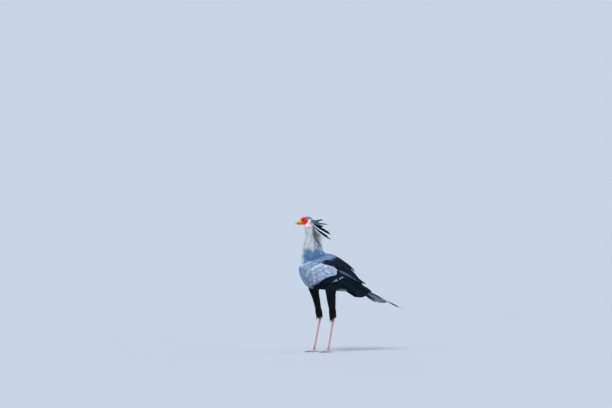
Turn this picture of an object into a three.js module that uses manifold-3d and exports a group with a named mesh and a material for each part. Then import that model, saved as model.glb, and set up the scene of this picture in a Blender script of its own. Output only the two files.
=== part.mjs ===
// Secretary bird, standing, life size, as a still museum model.
// Millimetres, +Z up. The bird faces -X, its left side is -Y and it stands on Z = 0.

import * as THREE from 'three';
import { mergeVertices } from 'three/addons/utils/BufferGeometryUtils.js';
import Module from 'manifold-3d';

const wasm = await Module();
wasm.setup();

// Shared clearances and facet counts
const GAP = 0.35;
const SWELL = 0.5;
const TAIL_ROOM = 2;
const WELD = 1e-4;
const BODY_SIDES = 20;
const HEAD_SIDES = 16;
const NECK_SIDES = 18;
const LIMB_SIDES = 12;
const BALL_SIDES = 8;
const BALL_RINGS = 6;
const PATH_STEP = 0.01;
const FACE_STEP = 0.5;

// The trunk under the wings: place on x, centre height, reach up, reach down, half width
const TRUNK_NOSE = -293;
const TRUNK_TAIL = 322;
const TRUNK_ROWS = [
  [TRUNK_NOSE, 755, 0, 0, 0],
  [-285, 755, 30, 42, 32],
  [-262, 754, 70, 92, 62],
  [-225, 750, 120, 138, 90],
  [-170, 745, 144, 163, 104],
  [-100, 738, 152, 165, 108],
  [-20, 728, 150, 161, 107],
  [60, 712, 140, 155, 102],
  [130, 682, 118, 130, 88],
  [200, 645, 86, 90, 62],
  [260, 612, 54, 50, 38],
  [300, 592, 30, 26, 20],
  [TRUNK_TAIL, 582, 0, 0, 0],
];
const RUMP_START = 60;

// The folded wings lie on this wider shape, in the same columns
const FOLD_FRONT = -246;
const FOLD_BACK = 398;
const FOLD_ROWS = [
  [FOLD_FRONT, 756, 66, 84, 72],
  [-200, 750, 126, 134, 104],
  [-150, 745, 150, 152, 118],
  [-100, 740, 160, 160, 124],
  [-20, 728, 166, 162, 126],
  [60, 712, 160, 152, 122],
  [130, 686, 138, 140, 110],
  [200, 655, 114, 142, 95],
  [236, 637, 92, 148, 86],
  [262, 624, 66, 146, 78],
  [320, 588, 46, 112, 66],
  [370, 560, 30, 58, 58],
  [FOLD_BACK, 540, 12, 18, 50],
];

// Fleshy arm of the folded wing, from which its feathers grow: place on x, angle of the top
// and of the bottom edge from the middle of the back, depth under the fold and thickness
const ARM_ROWS = [
  [-240, 76, 98, -4, 5],
  [-200, 56, 120, -6, 11],
  [-100, 38, 124, -7, 13],
  [0, 18, 124, -8, 13],
  [70, 12, 122, -9, 10],
  [150, 14, 112, -10, 5],
];
const ARM_STEPS = 7;
const ARM_ACROSS = 5;
const MIDLINE_ROOM = 0.4;

// Tiers of the folded wing, from the lowest to the highest. Roots and tips run along lines
// of [place on x, angle from the back]; lift is the height over the fold at root and tip.
const WING_TIERS = [
  {
    name: 'primaries',
    count: 7,
    roots: [[30, 84], [4, 120]],
    tips: [[390, 96], [352, 138], [294, 152], [228, 150]],
    half: 19,
    lift: [-12, -4],
    shape: 'flight',
    roll: 21,
  },
  {
    name: 'secondaries',
    count: 7,
    roots: [[60, 30], [50, 84]],
    tips: [[352, 14], [330, 46], [262, 76]],
    half: 21,
    lift: [-13, -4],
    shape: 'flight',
    roll: 18,
  },
  {
    name: 'tertials',
    count: 6,
    roots: [[-6, 22], [-80, 60]],
    tips: [[234, 7], [214, 34], [150, 60]],
    half: 22,
    lift: [-12, 8],
    shape: 'flight',
    roll: 17,
  },
  {
    name: 'lower coverts',
    count: 5,
    roots: [[-176, 112], [-40, 110]],
    tips: [[-96, 134], [44, 126]],
    half: 17,
    lift: [-11, 3],
    shape: 'covert',
    roll: -10,
  },
  {
    name: 'greater coverts',
    count: 9,
    roots: [[-76, 74], [-214, 102]],
    tips: [[26, 80], [-88, 112], [-158, 132]],
    half: 19,
    lift: [-11, 5],
    shape: 'covert',
    roll: 16,
  },
  {
    name: 'median coverts',
    count: 8,
    roots: [[-110, 64], [-228, 94]],
    tips: [[-24, 76], [-114, 101], [-188, 120]],
    half: 18,
    lift: [-9, 7],
    shape: 'covert',
    roll: 16,
  },
  {
    name: 'scapulars',
    count: 7,
    roots: [[-64, 18], [-176, 54]],
    tips: [[50, 10], [34, 32], [-24, 48], [-100, 60]],
    half: 21,
    lift: [-11, 8],
    shape: 'covert',
    roll: -9,
  },
];
const FEATHER_THICK = 1.1;
const TIP_SCATTER = 5;

// Half widths of a feather along its length, as shares of its widest place
const FEATHER_SHAPES = {
  flight: [[0, 0.3], [0.3, 0.86], [0.68, 1], [0.92, 0.66], [1, 0.16]],
  covert: [[0, 0.35], [0.45, 1], [0.82, 0.86], [1, 0.22]],
  tail: [[0, 0.3], [0.45, 0.8], [0.72, 1], [0.93, 0.8], [1, 0.3]],
  streamer: [[0, 0.4], [0.3, 1], [0.52, 0.9], [0.78, 0.5], [0.95, 0.36], [1, 0.12]],
  crest: [[0, 0.2], [0.42, 0.34], [0.76, 1], [1, 0.22]],
  hackle: [[0, 0.5], [0.4, 1], [0.75, 0.8], [1, 0.15]],
};

// Head in its own frame, which is turned about the neck
const HEAD_PLACE = new THREE.Vector3(-218, 0, 0);
const HEAD_TURN = THREE.MathUtils.degToRad(-20);
const BILL_BASE = -62;
const NAPE_END = 57;
const HEAD_ROWS = [
  [BILL_BASE, 1192, 28, 28, 16],
  [-52, 1195, 34, 32, 22],
  [-38, 1198, 37.5, 34, 28],
  [-15, 1199, 40, 38, 33],
  [10, 1198, 41, 42, 35],
  [30, 1194, 36, 44, 32],
  [47, 1187, 20, 30, 20],
  [NAPE_END, 1184, 0, 0, 0],
];
const EYE_RADIUS = 10.5;
const EYE_SIDES = 10;
const EYE_RINGS = 8;
const EYE_PLACE = new THREE.Vector3(-37, 20.5, 1206);
const LID_RADIUS = 10.6;
const LID_HALF = 2.3;
const LID_SIDES = 5;
const LID_STEPS = 12;
const LID_LONG = 1.12;
const LID_TALL = 0.9;
const LID_OUT = 26.5;
const LID_TURN = THREE.MathUtils.degToRad(-24);
const BROW = new THREE.Vector3(-37, 19, 1219);
const BROW_HALF = new THREE.Vector3(19, 9.5, 5);
const EAR = new THREE.Vector3(6, 35.5, 1192);
const EAR_HALF = new THREE.Vector3(6.5, 6, 8.5);
const GAPE = new THREE.Vector3(-52, 20.5, 1177);
const GAPE_HALF = new THREE.Vector3(15, 6, 1.1);
const NOSTRIL = new THREE.Vector3(-74, 15.5, 1197);
const NOSTRIL_HALF = new THREE.Vector3(5, 5, 2);

// Bill: place on x, lower edge, upper edge and half width
const BILL_UPPER_ROWS = [
  [BILL_BASE, 1178, 1218, 16],
  [-78, 1176.5, 1213, 13.5],
  [-92, 1175.5, 1204, 10],
  [-101, 1172, 1194, 6.5],
  [-106.5, 1167, 1184, 3.6],
  [-109, 1163.5, 1174, 1.6],
];
const BILL_LOWER_ROWS = [
  [BILL_BASE, 1164, 1177.4, 14.5],
  [-78, 1165, 1175.9, 12],
  [-91, 1167.5, 1174.9, 8],
  [-98, 1169, 1172.4, 3.5],
];
const BILL_LOW = 1;
const BILL_HIGH = 2;
const BILL_SIDES = 10;

// Neck: height, middle on x, half depth and half width
const NECK_ROWS = [
  [1195, -211, 23, 22],
  [1176, -206, 32, 30],
  [1160, -201, 37, 35],
  [1117, -192, 44, 40],
  [1072, -186, 51, 44],
  [1026, -178, 59, 50],
  [972, -172, 74, 60],
  [935, -168, 90, 68],
  [905, -165, 106, 72],
  [870, -170, 102, 70],
  [835, -180, 92, 64],
  [800, -186, 84, 58],
];

// Crest ranks in the head's frame: root and tip as [place on x, height], spread of the tips
// to the side and number of feathers
const CREST_RANKS = [
  { root: [38, 1211], tip: [148, 1208], spread: 26, count: 4 },
  { root: [45, 1196], tip: [182, 1168], spread: 30, count: 4 },
  { root: [47, 1188], tip: [146, 1148], spread: 22, count: 3 },
  { root: [49, 1182], tip: [176, 1106], spread: 14, count: 3 },
  { root: [50, 1177], tip: [210, 1084], spread: 9, count: 2 },
  { root: [50, 1172], tip: [200, 1042], spread: 10, count: 2 },
];
const CREST = {
  half: 8,
  sunk: 12,
  thick: 0.9,
  sag: 7,
  rootSpread: 7,
  lengthScatter: 0.09,
  outerShorter: 0.06,
  tipScatter: 5,
  leanBack: 0.25,
  leanOut: 0.9,
  leanSide: 0.35,
};

// Loose feathers down the nape, in rows that get shorter and steeper
const NAPE = {
  top: 1136,
  bottom: 990,
  rows: 8,
  spread: 36,
  longest: 150,
  shortest: 62,
  pitchTop: 34,
  pitchBottom: 52,
  half: 6.5,
  thick: 0.9,
  sunk: 7,
  turnScatter: 5,
  lengthScatter: 0.06,
  sideShorter: 0.3,
  bow: 5,
};

// Legs: thigh rows hold height, middle on x, distance from the middle plane, half length
// and half width
const ANKLE_TOP = 337;
const FOOT_TOP = 17;
const LEGS = {
  left: {
    side: -1,
    foot: new THREE.Vector3(-40, -55, 0),
    heel: new THREE.Vector3(15, -58, 318),
    thigh: [
      [648, -34, 46, 34, 24],
      [612, -28, 56, 46, 35],
      [571, -20, 62, 48, 37],
      [524, -15, 64, 44, 34],
      [476, -10, 64, 40, 31],
      [430, -5, 63, 35, 28],
      [383, 2, 61, 31, 25],
      [ANKLE_TOP, 12, 59, 27, 22],
    ],
  },
  right: {
    side: 1,
    foot: new THREE.Vector3(-137, 55, 0),
    heel: new THREE.Vector3(-72, 58, 318),
    thigh: [
      [648, -152, 46, 34, 24],
      [612, -144, 56, 44, 35],
      [571, -134, 62, 44, 36],
      [524, -121, 64, 38, 33],
      [476, -108, 64, 33, 30],
      [430, -98, 63, 30, 27],
      [383, -88, 61, 28, 24],
      [ANKLE_TOP, -76, 59, 26, 22],
    ],
  },
};
const SHANK_HALF_DEPTH = 8.5;
const SHANK_HALF_WIDTH = 7;
const HEEL_HALF_DEPTH = 13;
const HEEL_HALF_WIDTH = 11;

// The shank from its top, as shares of its height, and how far it swells to the heel's size
const SHANK_ROWS = [
  [1, 0.6],
  [0.95, 1],
  [0.87, 0.75],
  [0.78, 0.15],
  [0.6, 0],
  [0.2, 0],
  [0.06, 0.25],
  [0, 0.5],
];
const SHANK_SCUTES = 13;
const SHANK_SIDES = 10;
const SCUTE_SPAN = 0.9;
const SCUTE_RAISE = 1.3;
const SCUTE_STEP = 0.15;
const TOE_SCUTES = 3;

// Feathers that hang round the lower end of the thigh
const HEM = {
  count: 8,
  root: 358,
  front: 288,
  back: 334,
  half: 10,
  thick: 1,
  sunk: 4,
  drawFront: 0.8,
  drawBack: 1.12,
  roll: 16,
  scatter: 5,
};

// Toes: name, direction away from straight ahead, length and half width
const TOES = [
  ['middle', 0, 74, 7.2],
  ['inner', 26, 58, 6.6],
  ['outer', -26, 60, 6.6],
  ['hind', 180, 30, 5.6],
];
const CLAW_LENGTH = 15;
const CLAW_REST = 0.8;

// Claw: share of its length, thickness and height, as shares of the toe's half width
const CLAW_ROWS = [[0, 0.6, 0.5], [0.35, 0.5, 0.56], [0.7, 0.33, 0.46], [1, 0.12, 0.2]];

// Middle of the foot: place on x, height and half width
const HUB_ROWS = [[0, -2, 12], [0, 8, 12.5], [3, FOOT_TOP, 9.5]];
const TOE_SIDES = 8;
const TOE_ROWS = [[-0.05, 0.9], [0.2, 1.05], [0.45, 0.92], [0.7, 0.95], [0.92, 0.8], [1, 0.62]];
const TOE_FLATNESS = 0.9;
const TOE_REST = 0.88;
const TOE_RISE_FROM = 0.2;

// Tail: the ridge runs straight down and back. Ranks count outwards from the middle pair.
const TAIL_START = 262;
const TAIL_RIDGE = 594;
const TAIL_SLOPE = 0.4335;
const TAIL_OPEN = 450;
const TAIL_PINCH = 0.32;
const TAIL_TIPS = [726, 560, 552, 540, 520, 480];
const TAIL_STEP_OUT = 7.5;
const TAIL_FIRST_OUT = 3.5;
const TAIL_STEP_DOWN = 3.2;
const TAIL_ARCH_DOWN = 1.3;
const TAIL_ROLL = 9;
const TAIL_LEAN = 14;
const STREAMER_LEAN = 42;
const STREAMER_DROOP = 16;
const STREAMER_DROOP_FROM = 560;
const TAIL_DEEP = 3;
const TAIL_OTHER_SIDE = 0.5;
const TAIL_OTHER_SHORTER = 14;
const TAIL_SCATTER = 4;
const TAIL_HALF = 13;
const TAIL_THICK = 1;

// Fleshy root of the tail: place on x, half width, drop of its sides and thickness
const TAIL_ROOT_ROWS = [
  [TAIL_START, 17, 12, 14],
  [330, 25, 19, 12],
  [385, 34, 28, 4],
];
const TAIL_ARCH = [[-1, 1], [-0.5, 0.35], [0, 0], [0.5, 0.35], [1, 1]];

// A repeatable number between -1 and 1 for each whole number
function vary(seed) {
  const wave = Math.sin(seed * 12.9898 + 4.1414) * 43758.5453;
  return 2 * (wave - Math.floor(wave)) - 1;
}

// A smooth line through rows [place, values...], read at one place
function along(rows, place) {
  const last = rows.length - 1;
  let k = 0;
  while (k < last - 1 && (rows[k + 1][0] - place) * (rows[last][0] - rows[0][0]) < 0) {
    k += 1;
  }
  const [a, b] = [rows[k], rows[k + 1]];
  const before = rows[Math.max(k - 1, 0)];
  const after = rows[Math.min(k + 2, last)];
  const span = b[0] - a[0];
  const t = THREE.MathUtils.clamp((place - a[0]) / span, 0, 1);
  return a.slice(1).map((value, i) => {
    const slopeA = (b[i + 1] - before[i + 1]) / (b[0] - before[0]) * span;
    const slopeB = (after[i + 1] - value) / (after[0] - a[0]) * span;
    return hermite(value, b[i + 1], slopeA, slopeB, t);
  });
}

function hermite(from, to, slopeFrom, slopeTo, t) {
  const t2 = t * t;
  const t3 = t2 * t;
  return from * (2 * t3 - 3 * t2 + 1) + slopeFrom * (t3 - 2 * t2 + t)
    + to * (3 * t2 - 2 * t3) + slopeTo * (t3 - t2);
}

// A closed surface from points and faces, turned so that its faces point out
function closedSurface(points, faces) {
  const six = faces.reduce((sum, [a, b, c]) => {
    return sum + points[a].dot(points[b].clone().cross(points[c]));
  }, 0);
  const order = six < 0 ? faces.map(([a, b, c]) => [a, c, b]) : faces;
  const geometry = new THREE.BufferGeometry();
  geometry.setAttribute('position', new THREE.Float32BufferAttribute(
    points.flatMap((point) => point.toArray()), 3));
  geometry.setIndex(order.flat());
  return geometry;
}

// A skin over rings of points. A ring of one point is a pole, other end rings are capped by
// a fan, or by a strip where the ring runs out along one face and back along another.
function loft(rings, capEnd = capFan) {
  const points = rings.flat();
  const faces = [];
  let start = 0;
  for (let i = 0; i + 1 < rings.length; i += 1) {
    bridge(faces, start, rings[i].length, start + rings[i].length, rings[i + 1].length);
    start += rings[i].length;
  }
  capEnd(points, faces, 0, rings[0].length, true);
  capEnd(points, faces, start, rings[rings.length - 1].length, false);
  return closedSurface(points, faces);
}

function bridge(faces, startA, countA, startB, countB) {
  const count = Math.max(countA, countB);
  for (let k = 0; k < count; k += 1) {
    const next = (k + 1) % count;
    const [a, aNext] = [startA + k % countA, startA + next % countA];
    const [b, bNext] = [startB + k % countB, startB + next % countB];
    if (countA > 1) {
      faces.push([a, aNext, b]);
    }
    if (countB > 1) {
      faces.push([aNext, bNext, b]);
    }
  }
}

function capStrip(points, faces, start, count, first) {
  for (let k = 0; k + 1 < count / 2; k += 1) {
    const [a, b] = [start + k, start + k + 1];
    const [c, d] = [start + count - 2 - k, start + count - 1 - k];
    const pair = [[b, a, c], [a, d, c]];
    faces.push(...(first ? pair : pair.map((face) => face.reverse())));
  }
}

function capFan(points, faces, start, count, first) {
  if (count === 1) {
    return;
  }
  const middle = new THREE.Vector3();
  for (let k = 0; k < count; k += 1) {
    middle.addScaledVector(points[start + k], 1 / count);
  }
  points.push(middle);
  for (let k = 0; k < count; k += 1) {
    const face = [points.length - 1, start + (k + 1) % count, start + k];
    faces.push(first ? face : face.reverse());
  }
}

// An oval ring about a middle, on two half axes
function oval(middle, across, up, count) {
  return Array.from({ length: count }, (_, k) => {
    const angle = 2 * Math.PI * k / count;
    return middle.clone()
      .addScaledVector(across, Math.sin(angle))
      .addScaledVector(up, Math.cos(angle));
  });
}

// A thin feather vane along a path. Both faces are split along the same lines.
function vane(path, faceAt, half, thick, shape) {
  const points = [];
  shape.forEach(([share, wide]) => {
    const at = path(share);
    const heading = path(Math.min(share + PATH_STEP, 1))
      .sub(path(Math.max(share - PATH_STEP, 0)))
      .normalize();
    const face = faceAt(share, heading);
    const across = heading.clone().cross(face).normalize();
    const up = across.clone().cross(heading).normalize().multiplyScalar(thick / 2);
    across.multiplyScalar(half * wide);
    points.push(
      at.clone().add(across).add(up),
      at.clone().sub(across).add(up),
      at.clone().sub(across).sub(up),
      at.clone().add(across).sub(up));
  });
  return closedSurface(points, vaneFaces(shape.length));
}

function vaneFaces(stations) {
  const faces = [];
  for (let i = 0; i + 1 < stations; i += 1) {
    const [a, b, c, d] = [4 * i, 4 * i + 1, 4 * i + 2, 4 * i + 3];
    const [e, f, g, h] = [a + 4, b + 4, c + 4, d + 4];
    faces.push([a, b, f], [a, f, e], [d, g, c], [d, h, g]);
    faces.push([b, c, g], [b, g, f], [d, a, e], [d, e, h]);
  }
  const last = 4 * (stations - 1);
  faces.push([0, 2, 1], [0, 3, 2], [last, last + 1, last + 2], [last, last + 2, last + 3]);
  return faces;
}

// Solids for joining and cutting
function solid(geometry) {
  const merged = mergeVertices(geometry, WELD);
  return new wasm.Manifold(new wasm.Mesh({
    numProp: 3,
    vertProperties: new Float32Array(merged.getAttribute('position').array),
    triVerts: new Uint32Array(merged.getIndex().array),
  }));
}

function join(solids) {
  return solids.reduce((whole, piece) => whole.add(piece));
}

function largest(whole) {
  const bodies = whole.decompose();
  return bodies.reduce((best, body) => (body.volume() > best.volume() ? body : best));
}

function geometryOf(whole) {
  const mesh = largest(whole).getMesh();
  const geometry = new THREE.BufferGeometry();
  geometry.setAttribute('position', new THREE.Float32BufferAttribute(mesh.vertProperties, 3));
  geometry.setIndex(new THREE.Uint32BufferAttribute(mesh.triVerts, 1));
  return geometry;
}

// Egg-shaped rings on x from rows of centre, up, down and half width
function bodyRing(x, [centre, up, down, half], swell, count) {
  if (half === 0) {
    return [new THREE.Vector3(x, 0, centre)];
  }
  return Array.from({ length: count }, (_, k) => {
    const angle = 2 * Math.PI * k / count;
    const reach = (Math.cos(angle) > 0 ? up : down) + swell;
    return new THREE.Vector3(x, (half + swell) * Math.sin(angle), centre + reach * Math.cos(angle));
  });
}

function trunkLoft(from, to, swell) {
  const places = TRUNK_ROWS.map((row) => row[0]).filter((x) => x > from && x < to);
  const ends = (x, push) => bodyRing(x + push, along(TRUNK_ROWS, x), swell, BODY_SIDES);
  return loft([
    ends(from, from === TRUNK_NOSE ? -swell : 0),
    ...places.map((x) => bodyRing(x, along(TRUNK_ROWS, x), swell, BODY_SIDES)),
    ends(to, to === TRUNK_TAIL ? swell : 0),
  ]);
}

function headLoft(swell) {
  const rings = HEAD_ROWS.map(([x, ...row]) => {
    const push = x === NAPE_END ? swell : 0;
    return bodyRing(x + push, row, swell, HEAD_SIDES);
  });
  return loft(rings);
}

function headFrame() {
  return new THREE.Matrix4().makeRotationZ(HEAD_TURN).setPosition(HEAD_PLACE);
}

function eyeBall(side, radius) {
  const ball = new THREE.SphereGeometry(radius, EYE_SIDES, EYE_RINGS);
  ball.deleteAttribute('normal');
  ball.deleteAttribute('uv');
  ball.translate(EYE_PLACE.x, side * EYE_PLACE.y, EYE_PLACE.z);
  return solid(ball);
}

// Rim of the lids, set round the eye a little longer than tall
function lidRim(side) {
  const rim = new THREE.TorusGeometry(LID_RADIUS, LID_HALF, LID_SIDES, LID_STEPS);
  rim.deleteAttribute('normal');
  rim.deleteAttribute('uv');
  rim.scale(LID_LONG, LID_TALL, 1);
  rim.rotateX(Math.PI / 2);
  rim.rotateZ(side * LID_TURN);
  rim.translate(EYE_PLACE.x, side * LID_OUT, EYE_PLACE.z);
  return solid(rim);
}

// A smooth lump or hollow on a body: an oval ball
function ovalBall(place, half) {
  const ball = new THREE.SphereGeometry(1, BALL_SIDES, BALL_RINGS);
  ball.deleteAttribute('normal');
  ball.deleteAttribute('uv');
  ball.scale(half.x, half.y, half.z);
  ball.translate(place.x, place.y, place.z);
  return solid(ball);
}

function onBothSides(make) {
  return [-1, 1].map(make);
}

function headSolid() {
  const brows = onBothSides((side) => ovalBall(
    new THREE.Vector3(BROW.x, side * BROW.y, BROW.z), BROW_HALF));
  const rims = onBothSides(lidRim);
  const sockets = onBothSides((side) => eyeBall(side, EYE_RADIUS + GAP));
  const ears = onBothSides((side) => ovalBall(
    new THREE.Vector3(EAR.x, side * EAR.y, EAR.z), EAR_HALF));
  const mouths = onBothSides((side) => ovalBall(
    new THREE.Vector3(GAPE.x, side * GAPE.y, GAPE.z), GAPE_HALF));
  return join([solid(headLoft(0)), ...brows, ...rims, ...crestFeathers()])
    .subtract(join([...sockets, ...ears, ...mouths]));
}

// The upper bill carries an open nostril on each side
function billUpperSolid() {
  const nostrils = onBothSides((side) => ovalBall(
    new THREE.Vector3(NOSTRIL.x, side * NOSTRIL.y, NOSTRIL.z), NOSTRIL_HALF));
  return solid(billGeometry(BILL_UPPER_ROWS, BILL_LOW, BILL_HIGH)).subtract(join(nostrils));
}

// Crest: ranks of long paddle-shaped feathers behind the nape, spread like a fan
function crestFeathers() {
  return CREST_RANKS.flatMap((rank, row) => Array.from({ length: rank.count }, (_, k) => {
    const share = rank.count > 1 ? k / (rank.count - 1) * 2 - 1 : 0;
    const length = 1 + CREST.lengthScatter * vary(row * 7 + k) - CREST.outerShorter * Math.abs(share);
    const nape = new THREE.Vector3(rank.root[0], CREST.rootSpread * share, rank.root[1]);
    const tip = new THREE.Vector3(rank.tip[0], rank.spread * share, rank.tip[1]);
    const reach = tip.clone().sub(nape);
    const root = nape.clone().addScaledVector(reach, -CREST.sunk / reach.length());
    tip.copy(nape).addScaledVector(reach, length);
    tip.z += CREST.tipScatter * vary(row * 11 + k + 3);
    const path = (t) => root.clone().lerp(tip, t).setZ(
      THREE.MathUtils.lerp(root.z, tip.z, t) - CREST.sag * Math.sin(Math.PI * t));
    const lean = CREST.leanSide + CREST.leanOut * share;
    const face = new THREE.Vector3(CREST.leanBack, lean, 1).normalize();
    return solid(vane(path, () => face, CREST.half, CREST.thick, FEATHER_SHAPES.crest));
  }));
}

// Half of the bill: rounded outside and flat where the two halves close
function billGeometry(rows, flat, round) {
  return loft(rows.map((row) => Array.from({ length: BILL_SIDES + 1 }, (_, k) => {
    const angle = Math.PI * (k / BILL_SIDES - 0.5);
    return new THREE.Vector3(
      row[0] - (row[0] === BILL_BASE ? GAP : 0),
      row[3] * Math.sin(angle),
      row[flat] + (row[round] - row[flat]) * Math.cos(angle));
  })));
}

function neckLoft(swell) {
  return solid(loft(NECK_ROWS.map(([z, x, depth, half]) => oval(
    new THREE.Vector3(x, 0, z),
    new THREE.Vector3(0, half + swell, 0),
    new THREE.Vector3(depth + swell, 0, 0), NECK_SIDES))));
}

// One loose feather of the nape, from the back of the neck down and out
function napeFeather(row, column) {
  const share = row / (NAPE.rows - 1);
  const height = THREE.MathUtils.lerp(NAPE.top, NAPE.bottom, share);
  const [x, depth, half] = along(NECK_ROWS, height);
  const turn = THREE.MathUtils.degToRad(
    column * NAPE.spread + NAPE.turnScatter * vary(row * 5 + column));
  const pitch = THREE.MathUtils.degToRad(
    THREE.MathUtils.lerp(NAPE.pitchTop, NAPE.pitchBottom, share)
    + NAPE.turnScatter * vary(row * 3 + column + 40));
  const out = new THREE.Vector3(Math.cos(turn), Math.sin(turn), 0);
  const heading = out.clone().multiplyScalar(Math.cos(pitch)).setZ(-Math.sin(pitch));
  const root = new THREE.Vector3(
    x + (depth - NAPE.sunk) * out.x, (half - NAPE.sunk) * out.y, height);
  const reach = THREE.MathUtils.lerp(NAPE.shortest, NAPE.longest, (1 - share) ** 2);
  const uneven = NAPE.lengthScatter * vary(row + column * 9);
  const length = reach * (1 - NAPE.sideShorter * Math.abs(Math.sin(turn)) + uneven);
  const path = (t) => root.clone().addScaledVector(heading, length * t)
    .setZ(root.z + heading.z * length * t + NAPE.bow * Math.sin(Math.PI * t));
  const face = out.clone().multiplyScalar(Math.sin(pitch)).setZ(Math.cos(pitch));
  return solid(vane(path, () => face, NAPE.half, NAPE.thick, FEATHER_SHAPES.hackle));
}

function neckSolid(trunkRoom) {
  const headRoom = solid(headLoft(SWELL)).transform(headFrame().elements);
  const feathers = Array.from({ length: NAPE.rows }, (_, row) => {
    const columns = row % 2 ? [-0.5, 0.5] : [-1, 0, 1];
    return columns.map((column) => napeFeather(row, column));
  });
  return join([neckLoft(0), ...feathers.flat()]).subtract(headRoom).subtract(trunkRoom);
}

function thighLoft(leg, swell) {
  return solid(loft(leg.thigh.map(([z, x, out, length, half]) => oval(
    new THREE.Vector3(x, leg.side * out, z),
    new THREE.Vector3(0, half + swell, 0),
    new THREE.Vector3(length + swell, 0, 0), LIMB_SIDES))));
}

// Feathers hanging from the lower end of the thigh, longest in front
function hemFeather(leg, k) {
  const turn = 2 * Math.PI * k / HEM.count;
  const out = new THREE.Vector3(-Math.cos(turn), Math.sin(turn), 0);
  const [x, away, depth, half] = along(leg.thigh, HEM.root);
  const centre = new THREE.Vector3(x, leg.side * away, 0);
  const ring = (draw, height) => centre.clone().add(new THREE.Vector3(
    out.x * (depth - HEM.sunk) * draw, out.y * (half - HEM.sunk) * draw, height));
  const front = (1 + Math.cos(turn)) / 2;
  const end = THREE.MathUtils.lerp(HEM.back, HEM.front, front)
    + HEM.scatter * vary(k + leg.side * 17);
  const start = ring(1, HEM.root);
  const tip = ring(THREE.MathUtils.lerp(HEM.drawBack, HEM.drawFront, front), end);
  const path = (t) => start.clone().lerp(tip, t)
    .addScaledVector(out, HEM.sunk * Math.sin(Math.PI * Math.min(1, 0.15 + t)));
  const roll = THREE.MathUtils.degToRad(HEM.roll);
  const face = (_, heading) => out.clone().applyAxisAngle(heading, roll);
  return solid(vane(path, face, HEM.half, HEM.thick, FEATHER_SHAPES.hackle));
}

function thighSolid(leg, trunkRoom) {
  const feathers = Array.from({ length: HEM.count }, (_, k) => hemFeather(leg, k));
  return join([thighLoft(leg, 0), ...feathers]).subtract(trunkRoom);
}

// A ring of the shank at a share of its height, its front half raised for a scute's edge
function shankRing(leg, share, raise) {
  const height = THREE.MathUtils.lerp(FOOT_TOP + GAP, ANKLE_TOP - GAP, share);
  const middle = leg.foot.clone().lerp(leg.heel, height / leg.heel.z).setZ(height);
  const [bulge] = along(SHANK_ROWS, share);
  const depth = THREE.MathUtils.lerp(SHANK_HALF_DEPTH, HEEL_HALF_DEPTH, bulge);
  const half = THREE.MathUtils.lerp(SHANK_HALF_WIDTH, HEEL_HALF_WIDTH, bulge);
  return Array.from({ length: SHANK_SIDES }, (_, k) => {
    const turn = 2 * Math.PI * k / SHANK_SIDES;
    const lift = raise * Math.max(0, Math.cos(turn)) ** 0.5;
    return middle.clone().add(new THREE.Vector3(
      -(depth + lift) * Math.cos(turn), (half + lift) * Math.sin(turn), 0));
  });
}

// The shank with scutes down its front, each stepped out over the next one below
function shankLoft(leg) {
  const rings = [shankRing(leg, 1, 0)];
  const step = SCUTE_SPAN / SHANK_SCUTES;
  for (let k = 0; k < SHANK_SCUTES; k += 1) {
    const upper = SCUTE_SPAN - k * step;
    rings.push(shankRing(leg, upper, 0));
    rings.push(shankRing(leg, upper - step * (1 - SCUTE_STEP), SCUTE_RAISE));
  }
  rings.push(shankRing(leg, 0, 0));
  return loft(rings);
}

function toeLoft(turn, length, half) {
  const heading = new THREE.Vector3(-1, 0, 0).applyAxisAngle(new THREE.Vector3(0, 0, 1), turn);
  const across = new THREE.Vector3(-heading.y, heading.x, 0);
  const ring = (share, raise) => {
    const [size] = along(TOE_ROWS, share);
    const tall = half * size * TOE_FLATNESS;
    return oval(
      heading.clone().multiplyScalar(length * share).setZ(tall * TOE_REST + raise / 2),
      across.clone().multiplyScalar(half * size),
      new THREE.Vector3(0, 0, tall + raise / 2), TOE_SIDES);
  };
  const rings = [ring(TOE_ROWS[0][0], 0)];
  for (let k = 0; k < TOE_SCUTES; k += 1) {
    rings.push(ring((k + TOE_RISE_FROM) / TOE_SCUTES, 0));
    rings.push(ring((k + 1) / TOE_SCUTES - SCUTE_STEP / TOE_SCUTES, SCUTE_RAISE));
  }
  rings.push(ring(1, 0));
  return solid(loft(rings));
}

function footSolid() {
  const hub = solid(loft(HUB_ROWS.map(([x, z, half]) => oval(
    new THREE.Vector3(x, 0, z),
    new THREE.Vector3(0, half, 0),
    new THREE.Vector3(half, 0, 0), LIMB_SIDES))));
  const toes = TOES.map(([, turn, length, half]) => {
    return toeLoft(THREE.MathUtils.degToRad(turn), length, half);
  });
  return join([hub, ...toes]).trimByPlane([0, 0, 1], 0);
}

function clawGeometry(turn, toeLength, half) {
  const heading = new THREE.Vector3(-1, 0, 0).applyAxisAngle(new THREE.Vector3(0, 0, 1), turn);
  const across = new THREE.Vector3(-heading.y, heading.x, 0);
  return loft(CLAW_ROWS.map(([share, size, height]) => oval(
    heading.clone()
      .multiplyScalar(toeLength + GAP + CLAW_LENGTH * share)
      .setZ(half * height + CLAW_REST),
    across.clone().multiplyScalar(half * size),
    new THREE.Vector3(0, 0, half * size), TOE_SIDES)));
}

// A point of the folded wings' outer shape, by place on x and angle from the back
function foldPoint(x, angle, lift, side) {
  const [centre, up, down, half] = along(FOLD_ROWS, x);
  const turn = THREE.MathUtils.degToRad(angle);
  const reach = Math.cos(turn) > 0 ? up : down;
  return new THREE.Vector3(
    x,
    side * (half + lift) * Math.sin(turn),
    centre + (reach + lift) * Math.cos(turn));
}

function foldFace(x, angle, side) {
  const point = (dx, turn) => foldPoint(x + dx * FACE_STEP, angle + turn * FACE_STEP, 0, side);
  const alongX = point(1, 0).sub(point(-1, 0));
  const around = point(0, 1).sub(point(0, -1));
  return alongX.cross(around).multiplyScalar(-side).normalize();
}

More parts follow.
